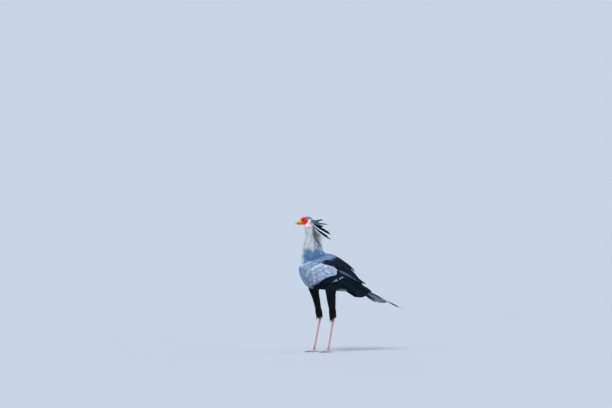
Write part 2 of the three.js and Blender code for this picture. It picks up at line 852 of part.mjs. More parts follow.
function wingArm(side) {
  const first = ARM_ROWS[0][0];
  const end = ARM_ROWS[ARM_ROWS.length - 1][0];
  const rings = Array.from({ length: ARM_STEPS + 1 }, (_, i) => {
    const x = THREE.MathUtils.lerp(first, end, i / ARM_STEPS);
    const [top, bottom, lift, thick] = along(ARM_ROWS, x);
    const face = (depth) => Array.from({ length: ARM_ACROSS + 1 }, (__, k) => {
      return foldPoint(x, THREE.MathUtils.lerp(top, bottom, k / ARM_ACROSS), depth, side);
    });
    return [...face(lift), ...face(lift - thick).reverse()];
  });
  return solid(loft(rings, capStrip));
}

// A place along a line of [place on x, angle] points, at a share of its length
function onLine(line, share) {
  const step = share * (line.length - 1);
  const k = Math.min(Math.floor(step), line.length - 2);
  return line[k].map((value, i) => THREE.MathUtils.lerp(value, line[k + 1][i], step - k));
}

// One feather laid along the fold, its lower edge raised over the next one below
function drapedFeather(side, tier, share, chance) {
  const root = onLine(tier.roots, share);
  const tip = onLine(tier.tips, share);
  tip[0] += TIP_SCATTER * vary(chance);
  const roll = side * THREE.MathUtils.degToRad(tier.roll);
  const place = (t) => root.map((value, i) => THREE.MathUtils.lerp(value, tip[i], t));
  const path = (t) => {
    const lift = THREE.MathUtils.lerp(tier.lift[0], tier.lift[1], Math.sqrt(t));
    return foldPoint(...place(t), lift, side);
  };
  const face = (t, heading) => foldFace(...place(t), side).applyAxisAngle(heading, roll);
  return solid(vane(path, face, tier.half, FEATHER_THICK, FEATHER_SHAPES[tier.shape]));
}

function wingSolid(side, room) {
  const feathers = WING_TIERS.flatMap((tier, row) => Array.from({ length: tier.count }, (_, k) => {
    return drapedFeather(side, tier, k / (tier.count - 1), side * 31 + row * 13 + k);
  }));
  return join([wingArm(side), ...feathers])
    .trimByPlane([0, side, 0], MIDLINE_ROOM)
    .subtract(room);
}

// How far the tail has opened out at a place on x
function tailOpening(x) {
  const t = THREE.MathUtils.clamp((x - TAIL_START) / (TAIL_OPEN - TAIL_START), 0, 1);
  return THREE.MathUtils.lerp(TAIL_PINCH, 1, THREE.MathUtils.smoothstep(t, 0, 1));
}

function tailRidge(x) {
  return TAIL_RIDGE - TAIL_SLOPE * (x - TAIL_START);
}

// One tail feather. Each rank lies lower and leans out more than the one inside it.
function tailFeather(side, rank) {
  const out = side * (TAIL_FIRST_OUT + TAIL_STEP_OUT * rank);
  const other = side > 0 ? 1 : 0;
  const down = TAIL_STEP_DOWN * (rank + TAIL_OTHER_SIDE * other) + TAIL_ARCH_DOWN * rank ** 2;
  const end = TAIL_TIPS[rank] - TAIL_OTHER_SHORTER * other + TAIL_SCATTER * vary(rank * 5 + side);
  const path = (t) => {
    const x = THREE.MathUtils.lerp(TAIL_START, end, t);
    const open = tailOpening(x);
    const droop = STREAMER_DROOP * THREE.MathUtils.smoothstep(x, STREAMER_DROOP_FROM, TAIL_TIPS[0]);
    return new THREE.Vector3(x, out * open, tailRidge(x) - TAIL_DEEP - down * open - droop);
  };
  const lean = THREE.MathUtils.degToRad(rank === 0 ? STREAMER_LEAN : TAIL_LEAN + TAIL_ROLL * rank);
  const face = new THREE.Vector3(TAIL_SLOPE, side * Math.sin(lean), Math.cos(lean)).normalize();
  const shape = rank === 0 ? FEATHER_SHAPES.streamer : FEATHER_SHAPES.tail;
  return solid(vane(path, () => face, TAIL_HALF, TAIL_THICK, shape));
}

// The arched root of the tail, or with a swell the room that it needs
function tailRoot(swell) {
  const rings = TAIL_ROOT_ROWS.map(([x, half, drop, thick]) => {
    const face = (lift) => TAIL_ARCH.map(([share, fall]) => new THREE.Vector3(
      x, share * (half + swell), tailRidge(x) - drop * fall + lift));
    return [...face(2 * swell), ...face(-thick - 2 * swell).reverse()];
  });
  return solid(loft(rings, capStrip));
}

function tailSolid(trunkRoom) {
  const feathers = TAIL_TIPS.flatMap((_, rank) => onBothSides((side) => tailFeather(side, rank)));
  return join([tailRoot(0), ...feathers]).subtract(trunkRoom);
}

// Finishes
const FINISHES = {
  grey: new THREE.MeshStandardMaterial({ color: 0xa9b4c4, roughness: 0.85, metalness: 0 }),
  pale: new THREE.MeshStandardMaterial({ color: 0xc9cdd0, roughness: 0.85, metalness: 0 }),
  black: new THREE.MeshStandardMaterial({ color: 0x14181f, roughness: 0.7, metalness: 0 }),
  face: new THREE.MeshStandardMaterial({ color: 0xe8481c, roughness: 0.6, metalness: 0 }),
  horn: new THREE.MeshStandardMaterial({ color: 0x8fa3ae, roughness: 0.4, metalness: 0 }),
  eye: new THREE.MeshStandardMaterial({ color: 0x3a2a1a, roughness: 0.1, metalness: 0 }),
  shank: new THREE.MeshStandardMaterial({ color: 0xd99a8c, roughness: 0.65, metalness: 0 }),
  claw: new THREE.MeshStandardMaterial({ color: 0x2b2622, roughness: 0.45, metalness: 0 }),
};

function piece(name, geometry, finish) {
  const mesh = new THREE.Mesh(geometry, finish);
  mesh.name = name;
  return mesh;
}

function makeHead() {
  const head = new THREE.Group();
  head.position.copy(HEAD_PLACE);
  head.rotation.z = HEAD_TURN;
  head.add(
    piece('head', geometryOf(headSolid()), FINISHES.face),
    piece('bill_upper', geometryOf(billUpperSolid()), FINISHES.horn),
    piece('bill_lower', billGeometry(BILL_LOWER_ROWS, BILL_HIGH, BILL_LOW), FINISHES.horn),
    piece('eye_left', geometryOf(eyeBall(-1, EYE_RADIUS)), FINISHES.eye),
    piece('eye_right', geometryOf(eyeBall(1, EYE_RADIUS)), FINISHES.eye),
  );
  return head;
}

function makeLeg(name, leg, trunkRoom) {
  const parts = new THREE.Group();
  const thigh = thighSolid(leg, trunkRoom);
  const foot = new THREE.Group();
  foot.position.copy(leg.foot);
  foot.add(piece(`foot_${name}`, geometryOf(footSolid()), FINISHES.shank));
  TOES.forEach(([toe, turn, length, half]) => {
    const claw = clawGeometry(THREE.MathUtils.degToRad(turn), length, half);
    foot.add(piece(`claw_${toe}_${name}`, claw, FINISHES.claw));
  });
  parts.add(
    piece(`thigh_${name}`, geometryOf(thigh), FINISHES.black),
    piece(`shank_${name}`, shankLoft(leg), FINISHES.shank),
    foot,
  );
  return parts;
}

function makeBird() {
  const bird = new THREE.Group();
  const trunkRoom = solid(trunkLoft(TRUNK_NOSE, TRUNK_TAIL, SWELL));
  const thighRoom = join([thighLoft(LEGS.left, SWELL), thighLoft(LEGS.right, SWELL)]);
  const room = join([trunkRoom, thighRoom, neckLoft(SWELL), tailRoot(TAIL_ROOM)]);
  bird.add(
    makeHead(),
    piece('neck', geometryOf(neckSolid(trunkRoom)), FINISHES.pale),
    piece('torso', trunkLoft(TRUNK_NOSE, RUMP_START - GAP / 2, 0), FINISHES.grey),
    piece('rump', trunkLoft(RUMP_START + GAP / 2, TRUNK_TAIL, 0), FINISHES.black),
    piece('wing_left', geometryOf(wingSolid(-1, room)), FINISHES.black),
    piece('wing_right', geometryOf(wingSolid(1, room)), FINISHES.black),
    piece('tail', geometryOf(tailSolid(trunkRoom)), FINISHES.grey),
    makeLeg('left', LEGS.left, trunkRoom),
    makeLeg('right', LEGS.right, trunkRoom),
  );
  return bird;
}

// The origin is under the middle of the whole bird
const group = new THREE.Group();
const bird = makeBird();
group.add(bird);
group.updateMatrixWorld(true);
const box = new THREE.Box3().setFromObject(group, true);
const middle = box.getCenter(new THREE.Vector3());
bird.position.set(-middle.x, -middle.y, -box.min.z);

export default group;
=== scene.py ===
import functools
import math

import bmesh
import bpy
import numpy as np
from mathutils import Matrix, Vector


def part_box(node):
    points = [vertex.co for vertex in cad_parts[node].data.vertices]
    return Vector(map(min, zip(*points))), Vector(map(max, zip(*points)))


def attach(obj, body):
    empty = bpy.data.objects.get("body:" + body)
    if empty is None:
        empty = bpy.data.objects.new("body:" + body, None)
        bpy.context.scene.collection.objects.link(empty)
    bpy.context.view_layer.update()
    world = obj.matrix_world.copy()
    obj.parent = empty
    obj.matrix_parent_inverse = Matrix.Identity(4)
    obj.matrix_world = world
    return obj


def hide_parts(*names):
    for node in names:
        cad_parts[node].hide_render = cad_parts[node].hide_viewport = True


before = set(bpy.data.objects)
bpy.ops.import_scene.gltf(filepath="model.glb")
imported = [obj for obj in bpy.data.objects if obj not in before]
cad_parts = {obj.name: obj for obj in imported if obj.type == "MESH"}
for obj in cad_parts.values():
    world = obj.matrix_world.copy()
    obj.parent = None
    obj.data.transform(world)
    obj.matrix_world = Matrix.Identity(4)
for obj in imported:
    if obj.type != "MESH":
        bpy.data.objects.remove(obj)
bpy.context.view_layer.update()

# Secretary bird, standing, life size. Tables are in the bird's own millimetres: it faces -x,
# its left side is -y and it stands on z = 0. place_in_frame() turns them into the frame.
MM, PER_METRE = 0.001, 1000

# The trunk under the coat: place on x, centre height, reach up, reach down, half width
TRUNK_ROWS = [
    (-293, 755, 0, 0, 0), (-285, 755, 30, 42, 32), (-262, 754, 70, 92, 62),
    (-225, 750, 120, 138, 90), (-170, 745, 144, 163, 104), (-100, 738, 152, 165, 108),
    (-20, 728, 150, 161, 107), (60, 712, 140, 155, 102), (130, 682, 118, 130, 88),
    (200, 645, 86, 90, 62), (260, 612, 54, 50, 38), (300, 592, 30, 26, 20), (322, 582, 0, 0, 0),
]
# The wider shape that the folded wings lie on, in the same columns
FOLD_ROWS = [
    (-246, 756, 66, 84, 72), (-200, 750, 126, 134, 104), (-150, 745, 150, 152, 118),
    (-100, 740, 160, 160, 124), (-20, 728, 166, 162, 126), (60, 712, 160, 152, 122),
    (130, 686, 138, 140, 110), (200, 655, 114, 142, 95), (236, 637, 92, 148, 86),
    (262, 624, 66, 146, 78), (320, 588, 46, 112, 66), (370, 560, 30, 58, 58), (398, 540, 12, 18, 50),
]
# Fleshy arm of the folded wing: place on x, angle of its top and bottom edge from the middle
# of the back, depth under the fold and thickness
ARM_ROWS = [
    (-240, 76, 98, -6, 8), (-200, 56, 120, -8, 13), (-100, 38, 124, -9, 15),
    (0, 18, 124, -10, 15), (70, 12, 122, -11, 10), (150, 14, 112, -12, 5),
]
# Head, in its own frame: place on x, centre height, reach up, reach down, half width
HEAD_PLACE = np.array([-218.0, 0, 0])
HEAD_TURN = math.radians(-20)
HEAD_ROWS = [
    (-62, 1192, 28, 28.5, 17.6), (-52, 1195, 34, 32, 22.5), (-38, 1198, 37.5, 34, 28),
    (-15, 1199, 40, 38, 33), (10, 1198, 41, 42, 35), (30, 1194, 36, 44, 32),
    (47, 1187, 20, 30, 20), (57, 1184, 0, 0, 0),
]
# Neck: height, middle on x, half depth and half width
NECK_ROWS = [
    (1195, -211, 23, 22), (1176, -208, 33, 30), (1160, -205, 41, 35), (1117, -196, 48, 40),
    (1072, -188, 54, 44), (1026, -184, 65, 50), (972, -177, 79, 60), (935, -171, 92, 68),
    (905, -165, 106, 72), (870, -170, 102, 70), (835, -180, 92, 64), (800, -186, 84, 58),
]
# Legs: thigh rows hold height, middle on x, distance from the middle plane, half length and
# half width
ANKLE_TOP = 337
FOOT_TOP = 17
LEGS = {
    "left": {
        "side": -1, "foot": (-40, -55, 0), "heel": (15, -58, 318),
        "thigh": [
            (648, -34, 46, 34, 24), (612, -28, 56, 46, 35), (571, -20, 62, 48, 37),
            (524, -15, 64, 44, 34), (476, -10, 64, 40, 31), (430, -5, 63, 35, 28),
            (383, 2, 61, 31, 25), (337, 12, 59, 27, 22),
        ],
    },
    "right": {
        "side": 1, "foot": (-137, 55, 0), "heel": (-72, 58, 318),
        "thigh": [
            (648, -152, 46, 34, 24), (612, -144, 56, 44, 35), (571, -134, 62, 44, 36),
            (524, -121, 64, 38, 33), (476, -108, 64, 33, 30), (430, -98, 63, 30, 27),
            (383, -88, 61, 28, 24), (337, -76, 59, 26, 22),
        ],
    },
}
# Shank: share of its height and how far it swells from its own half sizes to the heel's
SHANK_ROWS = [
    (0, 0.5), (0.06, 0.25), (0.2, 0), (0.6, 0), (0.78, 0.15), (0.87, 0.75), (0.95, 1), (1, 0.6),
]
SHANK_HALF = (8.5, 7)
HEEL_HALF = (13, 11)
# Toes: direction away from straight ahead, length and half width
TOES = {"middle": (0, 74, 7.2), "inner": (26, 58, 6.6), "outer": (-26, 60, 6.6), "hind": (180, 30, 5.6)}
# Toe: share of its length and share of its half width, with a pad under each joint
TOE_ROWS = [
    (-0.1, 0.8), (0.08, 0.98), (0.2, 0.86), (0.34, 1.05), (0.5, 0.82), (0.64, 0.98), (0.78, 0.76),
    (0.9, 0.9), (1, 0.6),
]
CLAW_LENGTH = 15

# Height at which the cape's lowest feathers are rooted, and their length
CAPE_EDGE, CAPE_REACH = 836, 33
# Height at which the feathers of the thighs start to hang down
THIGH_TOP = 590
# Heights over which the coat of the neck starts above the cape, and that of the head above it
NECK_EDGE, HEAD_EDGE = (925, 955), (1158, 1166)

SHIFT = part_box("torso")[0].x / MM - TRUNK_ROWS[0][0]


def place_in_frame(points):
    return (np.asarray(points, float) + np.array([SHIFT, 0, 0])) * MM


def bird_place(points):
    return np.asarray(points, float) / MM - np.array([SHIFT, 0, 0])


def columns(*parts):
    """Values side by side, as places or directions."""
    return np.stack(np.broadcast_arrays(*parts), -1)


def full_turn(sides):
    return 2 * np.pi * np.arange(sides) / sides


def turned_flat(points, angle):
    """Places turned about the vertical."""
    c, s = math.cos(angle), math.sin(angle)
    x, y, z = np.moveaxis(points, -1, 0)
    return columns(x * c - y * s, x * s + y * c, z)


def from_head(points):
    return turned_flat(np.asarray(points, float), HEAD_TURN) + HEAD_PLACE


def to_head(points):
    return turned_flat(np.asarray(points, float) - HEAD_PLACE, -HEAD_TURN)


def head_direction(vectors):
    """Directions in the head's frame as the bird's own."""
    return from_head(vectors) - HEAD_PLACE


def along(rows, place):
    """Smooth values at places on a table of rows (place, values...)."""
    table = np.array(sorted(rows), float)
    at, value = table[:, 0], table[:, 1:]
    index = np.arange(len(at))
    ahead, behind = np.minimum(index + 1, len(at) - 1), np.maximum(index - 1, 0)
    slope = (value[ahead] - value[behind]) / (at[ahead] - at[behind])[:, None]
    place = np.clip(np.asarray(place, float), at[0], at[-1])
    k = np.clip(np.searchsorted(at, place, side="right") - 1, 0, len(at) - 2)
    span = (at[k + 1] - at[k])[..., None]
    t = (place - at[k])[..., None] / span
    return (value[k] * (2 * t**3 - 3 * t**2 + 1) + slope[k] * span * (t**3 - 2 * t**2 + t)
            + value[k + 1] * (3 * t**2 - 2 * t**3) + slope[k + 1] * span * (t**3 - t**2))


def smooth_step(value, low, high):
    t = np.clip((value - low) / (high - low), 0, 1)
    return t * t * (3 - 2 * t)


def unit(vectors):
    return vectors / np.maximum(np.linalg.norm(vectors, axis=-1, keepdims=True), 1e-9)


def surface_over(rings):
    """Points and faces of a closed surface over rings with the same number of points."""
    rings = np.asarray(rings, float)
    rows, sides = rings.shape[:2]
    k = np.arange(sides)
    after = (k + 1) % sides
    start = np.arange(rows - 1)[:, None] * sides
    quads = columns(start + k, start + after, start + sides + after, start + sides + k)
    points = np.concatenate([rings.reshape(-1, 3), [rings[0].mean(0), rings[-1].mean(0)]])
    first, last = rows * sides, rows * sides + 1
    end = (rows - 1) * sides
    faces = quads.reshape(-1, 4).tolist()
    faces += [(first, b, a) for a, b in zip(k.tolist(), after.tolist())]
    faces += [(last, end + a, end + b) for a, b in zip(k.tolist(), after.tolist())]
    return points, faces


def ovals(middles, across, up, sides):
    """Rings round middles on two half axes."""
    turn = full_turn(sides)
    return (middles[:, None] + across[:, None] * np.sin(turn)[None, :, None]
            + up[:, None] * np.cos(turn)[None, :, None])


def body_rings(rows, places, sink, sides):
    """Egg-shaped rings on x from rows of centre, up, down and half width."""
    centre, up, down, half = along(rows, places).T[..., None]
    turn = full_turn(sides)
    grow = np.maximum(np.where(np.cos(turn) > 0, up, down) - sink, 0.5)
    wide = np.maximum(half - sink, 0.5)
    return columns(places[:, None], wide * np.sin(turn), centre + grow * np.cos(turn))


def smooth_faces(mesh):
    mesh.polygons.foreach_set("use_smooth", np.ones(len(mesh.polygons), bool))


def make_object(name, points, faces, finish=None):
    mesh = bpy.data.meshes.new(name)
    mesh.from_pydata(np.asarray(points).tolist(), [], [tuple(face) for face in faces])
    smooth_faces(mesh)
    if finish:
        mesh.materials.append(finish)
    piece = bpy.data.objects.new(name, mesh)
    bpy.context.scene.collection.objects.link(piece)
    return piece


def turn_outwards(piece):
    build = bmesh.new()
    build.from_mesh(piece.data)
    bmesh.ops.recalc_face_normals(build, faces=build.faces)
    build.to_mesh(piece.data)
    build.free()
    return piece


def joined(parts):
    """Points and faces of several surfaces as one."""
    points, faces, start = [], [], 0
    for some_points, some_faces in parts:
        points.append(some_points)
        faces += [tuple(index + start for index in face) for face in some_faces]
        start += len(some_points)
    return np.concatenate(points), faces


def finished(piece, modifiers=()):
    """The piece with its modifiers made into plain mesh."""
    for kind, settings in modifiers:
        modifier = piece.modifiers.new(kind.title(), kind)
        for key, value in settings.items():
            setattr(modifier, key, value)
    evaluated = piece.evaluated_get(bpy.context.evaluated_depsgraph_get())
    mesh = bpy.data.meshes.new_from_object(evaluated)
    piece.modifiers.clear()
    piece.data = mesh
    return piece


def claim(piece, slot, *nodes):
    """Rides the piece on the root and hides the parts of the nodes that it stands for. Its slot is not used.
    """
    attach(piece, "root")
    if nodes:
        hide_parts(*nodes)


def add_piece(name, points, faces, finish, slot, *nodes):
    """A closed surface, given in the bird's millimetres, as a piece of the visual model."""
    claim(turn_outwards(make_object(name, place_in_frame(points), faces, finish)), slot, *nodes)


# Camera at the photograph's angle, far off with a long lens; azimuth and elevation in degrees
VIEW_ANGLES = (-20, 2.6)
VIEW_DISTANCE = 92.85
VIEW_LENS, VIEW_SENSOR = 600, 36
VIEW_CLIP = (1, 1200)
AIM = (-232.4, 0, 1354)


def towards(azimuth, elevation):
    """The direction to a stand at these angles, in degrees."""
    a, e = math.radians(azimuth), math.radians(elevation)
    return Vector((math.sin(a) * math.cos(e), -math.cos(a) * math.cos(e), math.sin(e)))


def set_up(name, data, away):
    """A camera or lamp that looks back from a direction."""
    stand = bpy.data.objects.new(name, data)
    stand.rotation_euler = away.to_track_quat("Z", "Y").to_euler()
    bpy.context.scene.collection.objects.link(stand)
    return stand


def make_camera():
    eye = bpy.data.cameras.new("view")
    eye.lens, eye.sensor_width = VIEW_LENS, VIEW_SENSOR
    eye.clip_start, eye.clip_end = VIEW_CLIP
    away = towards(*VIEW_ANGLES)
    stand = set_up("view", eye, away)
    stand.location = Vector(place_in_frame(AIM)) + away * VIEW_DISTANCE
    bpy.context.scene.camera = stand


def maths(operation, reflected=False):
    """A method that adds one Math node."""
    def method(wire, *others):
        values = (*others, wire) if reflected else (wire, *others)
        return wire.graph.node("ShaderNodeMath", values, operation=operation)
    return method


class Wire:
    """An output socket, on which ordinary sums add their Math nodes."""

    __add__, __radd__ = maths("ADD"), maths("ADD", True)
    __sub__, __rsub__ = maths("SUBTRACT"), maths("SUBTRACT", True)
    __mul__, __rmul__ = maths("MULTIPLY"), maths("MULTIPLY", True)
    __truediv__, __pow__ = maths("DIVIDE"), maths("POWER")
    size, wave, most = maths("ABSOLUTE"), maths("SINE"), maths("MAXIMUM")

    def __init__(self, graph, socket):
        self.graph, self.socket = graph, socket

    def beside(self, name):
        """Another output of the same node."""
        return Wire(self.graph, self.socket.node.outputs[name])


class Graph:
    """A node tree, to which nodes are added one by one."""

    def __init__(self, tree):
        self.tree = tree

    def node(self, kind, values=(), out=0, **settings):
        made = self.tree.nodes.new(kind)
        for key, value in settings.items():
            setattr(made, key, value)
        for key, value in values.items() if isinstance(values, dict) else enumerate(values):
            self.feed(made.inputs[key], value)
        return Wire(self, made.outputs[out])

    def feed(self, socket, value):
        if isinstance(value, Wire):
            self.tree.links.new(value.socket, socket)
        elif isinstance(value, tuple) and socket.type == "RGBA":
            socket.default_value = (*value, 1)
        else:
            socket.default_value = value


class Finish(Graph):
    """A material on one Principled shader."""

    def __init__(self, name, constants):
        self.material = bpy.data.materials.new(name)
        self.material.use_nodes = True
        super().__init__(self.material.node_tree)
        self.tree.nodes.clear()
        self.shader = self.tree.nodes.new("ShaderNodeBsdfPrincipled")
        out = self.tree.nodes.new("ShaderNodeOutputMaterial")
        self.tree.links.new(self.shader.outputs[0], out.inputs[0])
        for socket, value in constants.items():
            self.set(socket, value)

    def set(self, socket, value):
        self.feed(self.shader.inputs[socket], value)

    def mix(self, share, first, second):
        return self.node("ShaderNodeMix", {0: share, 6: first, 7: second}, out=2, data_type="RGBA")

    def shade(self, colour, amount):
        """The colour made lighter or darker by a factor."""
        return self.node("ShaderNodeVectorMath", {0: colour, 3: amount}, operation="SCALE")

    def step(self, value, low, high):
        return self.node("ShaderNodeMapRange", (value, low, high), interpolation_type="SMOOTHSTEP")

    def noise(self, where, scale, detail=2.0):
        return self.node("ShaderNodeTexNoise", {"Vector": where, "Scale": scale, "Detail": detail})

    def streaks(self, where, scales, detail=2.0):
        """Noise with a scale of its own on each axis."""
        stretched = self.node("ShaderNodeVectorMath", {0: where, 1: scales}, operation="MULTIPLY")
        return self.noise(stretched, 1.0, detail)

    def attribute(self, name, out=2):
        return self.node("ShaderNodeAttribute", out=out, attribute_name=name)

    def axes(self, where):
        x = self.node("ShaderNodeSeparateXYZ", (where,))
        return x, x.beside(1), x.beside(2)

    def object_place(self):
        return self.node("ShaderNodeTexCoord", out=3)

    def bump(self, height, strength, distance):
        self.set("Normal", self.node("ShaderNodeBump", {
            "Strength": strength, "Distance": distance, "Height": height}))


def bird_axes(finish, where):
    """The bird's own x, side and height and the head's own x, in millimetres."""
    x, y, z = finish.axes(where)
    x, side = x * PER_METRE - SHIFT, y * PER_METRE
    head_x = (x - float(HEAD_PLACE[0])) * math.cos(HEAD_TURN) + side * math.sin(HEAD_TURN)
    return x, side, z * PER_METRE, head_x


# Colours of the plumage and bare parts, linear
SLATE = (0.18, 0.31, 0.48)
LOW_BREAST = (0.36, 0.46, 0.5)
# Cape: partly the plumage's own blue-grey, partly painted shade that makes it darker and bluer than the neck
CAPE_AND_PAINTED_SHADE = (0.1, 0.24, 0.46)
CAPE_STREAK_AND_PAINTED_SHADE = (0.2, 0.35, 0.55)
LILAC = (0.44, 0.57, 0.7)
NECK_SHADE = (0.46, 0.53, 0.59)
NECK_LIGHT = (0.72, 0.76, 0.78)
NAPE = (0.33, 0.47, 0.62)
CROWN_DARK = (0.1, 0.2, 0.33)
CROWN_LIGHT = (0.18, 0.3, 0.45)
CHEEK = (0.88, 0.9, 0.9)
OCCIPUT = (0.14, 0.2, 0.29)
INK = (0.003, 0.007, 0.012)
NIGHT = (0.004, 0.014, 0.026)
SOOT = (0.004, 0.006, 0.007)
THIGH_BROWN = (0.013, 0.011, 0.009)
# Vent: pale feathers painted darker and greener, their own pale colour with painted shade
VENT_WITH_PAINTED_SHADE = (0.19, 0.27, 0.26)
# Painted blue sheen on black flight feathers
PAINTED_BLUE_SHEEN = (0.006, 0.016, 0.03)
# Painted sheen: grey-blue streak on the lower web of the lowest secondaries, grey near the root and darker
# towards the tip
PAINTED_SHEEN_GREY = (0.12, 0.18, 0.26)
PAINTED_SHEEN_DARK = (0.035, 0.07, 0.13)
BROWN_BLACK = (0.008, 0.012, 0.017)
QUILL_RIM = (0.03, 0.042, 0.06)
COVERT_SHADE = (0.24, 0.34, 0.5)
COVERT_LIGHT = (0.44, 0.53, 0.67)
COVERT_EDGE = (0.4, 0.46, 0.56)
SLATE_DARK = (0.06, 0.13, 0.26)
SLATE_LIGHT = (0.1, 0.19, 0.34)
FLANK_WHITE = (0.36, 0.44, 0.48)
TAIL_SHADE = (0.11, 0.14, 0.22)
TAIL_LIGHT = (0.2, 0.23, 0.34)
STREAMER_TIP = (0.38, 0.45, 0.5)
TAIL_COVERT = (0.3, 0.36, 0.42)
PLUME_LIGHT = (0.12, 0.19, 0.29)
PLUME_SHADE = (0.06, 0.1, 0.17)
PLUME_ROOT = (0.03, 0.05, 0.09)
FACE_ORANGE = (0.84, 0.12, 0.003)
FACE_YELLOW = (0.8, 0.22, 0.006)
BILL_ROOT = (0.74, 0.31, 0.02)
FACE_RED = (0.7, 0.022, 0.008)
FACE_ROSE = (0.8, 0.02, 0.06)
LEG_PINK = (0.62, 0.35, 0.37)
ANKLE_PINK = (0.62, 0.36, 0.33)
SCALE_SHADE = (0.46, 0.26, 0.28)
SHANK_SHADE = (0.48, 0.27, 0.29)


def plumage_colour(finish, where):
    """The markings of head, neck and body at a place: the same on skin and coat."""
    x, side, z, head_x = bird_axes(finish, where)
    over, step = finish.mix, finish.step
    patchy = finish.noise(where, 18.0, 3.0)
    streaks = finish.streaks(where, (90.0, 90.0, 14.0))

    def toned(tone, low, high, dark, light):
        return over(step(tone, low, high), dark, light)

    breast = toned(streaks, 0.38, 0.6, SLATE, LILAC)
    neck = toned(streaks, 0.3, 0.6, NECK_SHADE, NECK_LIGHT)
    neck = over(step(x + (z - 1000) * 0.24 + patchy * 60, -145, -55), neck, NAPE)
    # Cape: its own colour with painted shade, darker and bluer than the neck
    cape = toned(patchy * 0.6 + streaks * 0.4, 0.38, 0.6, CAPE_AND_PAINTED_SHADE, CAPE_STREAK_AND_PAINTED_SHADE)
    belly_line = (x + 203) * 0.47 + 612 + patchy * 30
    body = over(step(z - belly_line, -6, 10), NIGHT, breast)
    body = over(step(x, -175, -215) * step(z, 655, 600), body, LOW_BREAST)
    # The vent's pale feathers below the tail's root, with painted shade
    body = over(step(x, 28, 48) * step(x, 150, 130) * step(z, 590, 576), body, VENT_WITH_PAINTED_SHADE)
    body = over(step(x, -5, 20) * step(z, 600, 640), body, NIGHT)
    body = over(step(z, CAPE_EDGE, CAPE_EDGE + 8), body, cape)
    throat_strip = step(x + side.size() * 0.9 - patchy * 24, -252, -264)
    body = over(throat_strip * step(z, 800, 840), body, neck)
    neck_line = z + patchy * 110 + streaks * 60 - side.size() * 0.2
    body = over(step(neck_line, 1005, 1080), body, neck)
    crown = toned(patchy, 0.35, 0.65, CROWN_DARK, CROWN_LIGHT)
    cheek_line = (head_x + 32) * 0.85 + 1168
    head = over(step(z - cheek_line - patchy * 16, -14, 16), CHEEK, crown)
    head = over(step(head_x, 14, 38) * step(z, 1176, 1200), head, OCCIPUT)
    body = over(step(z, 1150, 1162), body, head)
    thigh = toned(patchy, 0.45, 0.75, SOOT, THIGH_BROWN)
    return over(step(z + patchy * 60, 634, 584) * step(x, 50, 40), body, thigh)


# Skin: flesh of head, neck, body, folded arms and legs in one surface under the coat; size of
# its first grid in metres, points of a ring and depths under the coat's outer shape
SKIN_VOXEL = 0.004
HEAD_SIDES = 64
BODY_SIDES = 72
LIMB_SIDES = 32
TRUNK_SINK = 6
NECK_SINK = 5
HEAD_SINK = 1.6
THIGH_SINK = 4
HEEL_SINK = 11
EYE_PLACE = np.array([-37, 20.5, 1206])
EYE_RADIUS = 10.5
EYE_OPEN = (9.3, 7.3)
LID_DEPTH = 1.2
# Heights above which the face is shaped and below which the feet are finer, and of the soles
HEAD_FOOT, FINE_FEET, SOLE_HEIGHT = 1150, 26, 0.4
GAPE_PLACE, GAPE_SLOPE = (-52, 1177), 0.18


def trunk_skin():
    return surface_over(body_rings(TRUNK_ROWS, np.arange(-286, 318, 8.0), TRUNK_SINK, BODY_SIDES))


def head_skin():
    rows = [(-84, 1194, 10, 20, 4), (-72, 1193, 21, 26.5, 12)] + HEAD_ROWS
    rings = body_rings(rows, np.linspace(-82, 54, 48), HEAD_SINK, HEAD_SIDES)
    return surface_over(from_head(rings))


def oval_skin(middles, half, depth, sides=LIMB_SIDES):
    """A closed surface over ovals, with their half widths on y and depths on x."""
    return surface_over(ovals(middles, columns(0, half, 0), columns(depth, 0, 0), sides))


def neck_skin():
    z = np.linspace(1192, 800, 60)
    x, depth, half = along(NECK_ROWS, z).T
    middles = columns(x, 0, z)
    return oval_skin(middles, half - NECK_SINK, depth - NECK_SINK, BODY_SIDES)


def thigh_middle(leg, z):
    x, away, length, half = along(leg["thigh"], z).T
    return columns(x, leg["side"] * away, z), length, half


def thigh_skin(leg):
    z = np.linspace(648, 322, 50)
    middles, length, half = thigh_middle(leg, z)
    sink = THIGH_SINK + (HEEL_SINK - THIGH_SINK) * smooth_step(z, 430, 345)
    return oval_skin(middles, half - sink, length - sink)


def shank_middle(leg, share):
    z = FOOT_TOP + share * (ANKLE_TOP - FOOT_TOP)
    foot, heel = np.array(leg["foot"], float), np.array(leg["heel"], float)
    middle = foot + (heel - foot) * (z / heel[2])[:, None]
    middle[:, 2] = z
    swell = along(SHANK_ROWS, share)[:, 0]
    depth = SHANK_HALF[0] + (HEEL_HALF[0] - SHANK_HALF[0]) * swell
    half = SHANK_HALF[1] + (HEEL_HALF[1] - SHANK_HALF[1]) * swell
    return middle, depth, half


def shank_skin(leg):
    middle, depth, half = shank_middle(leg, np.linspace(-0.03, 1, 80))
    return oval_skin(middle, half, depth)


def toe_heading(turn):
    """Where a toe points, and the direction across it."""
    c, s = math.cos(math.radians(turn)), math.sin(math.radians(turn))
    return np.array([-c, -s, 0]), np.array([s, -c, 0])


def toe_middle(leg, turn, length, half, share):
    heading, across = toe_heading(turn)
    size = along(TOE_ROWS, share)[:, 0] * half
    middle = np.array(leg["foot"], float) + heading * (length * share)[:, None]
    middle[:, 2] = size * 0.8
    return middle, across * size[:, None], size


def toe_skin(leg, toe):
    middle, across, size = toe_middle(leg, *TOES[toe], np.linspace(-0.1, 1, 40))
    return surface_over(ovals(middle, across, np.outer(size * 0.86, [0, 0, 1]), LIMB_SIDES))


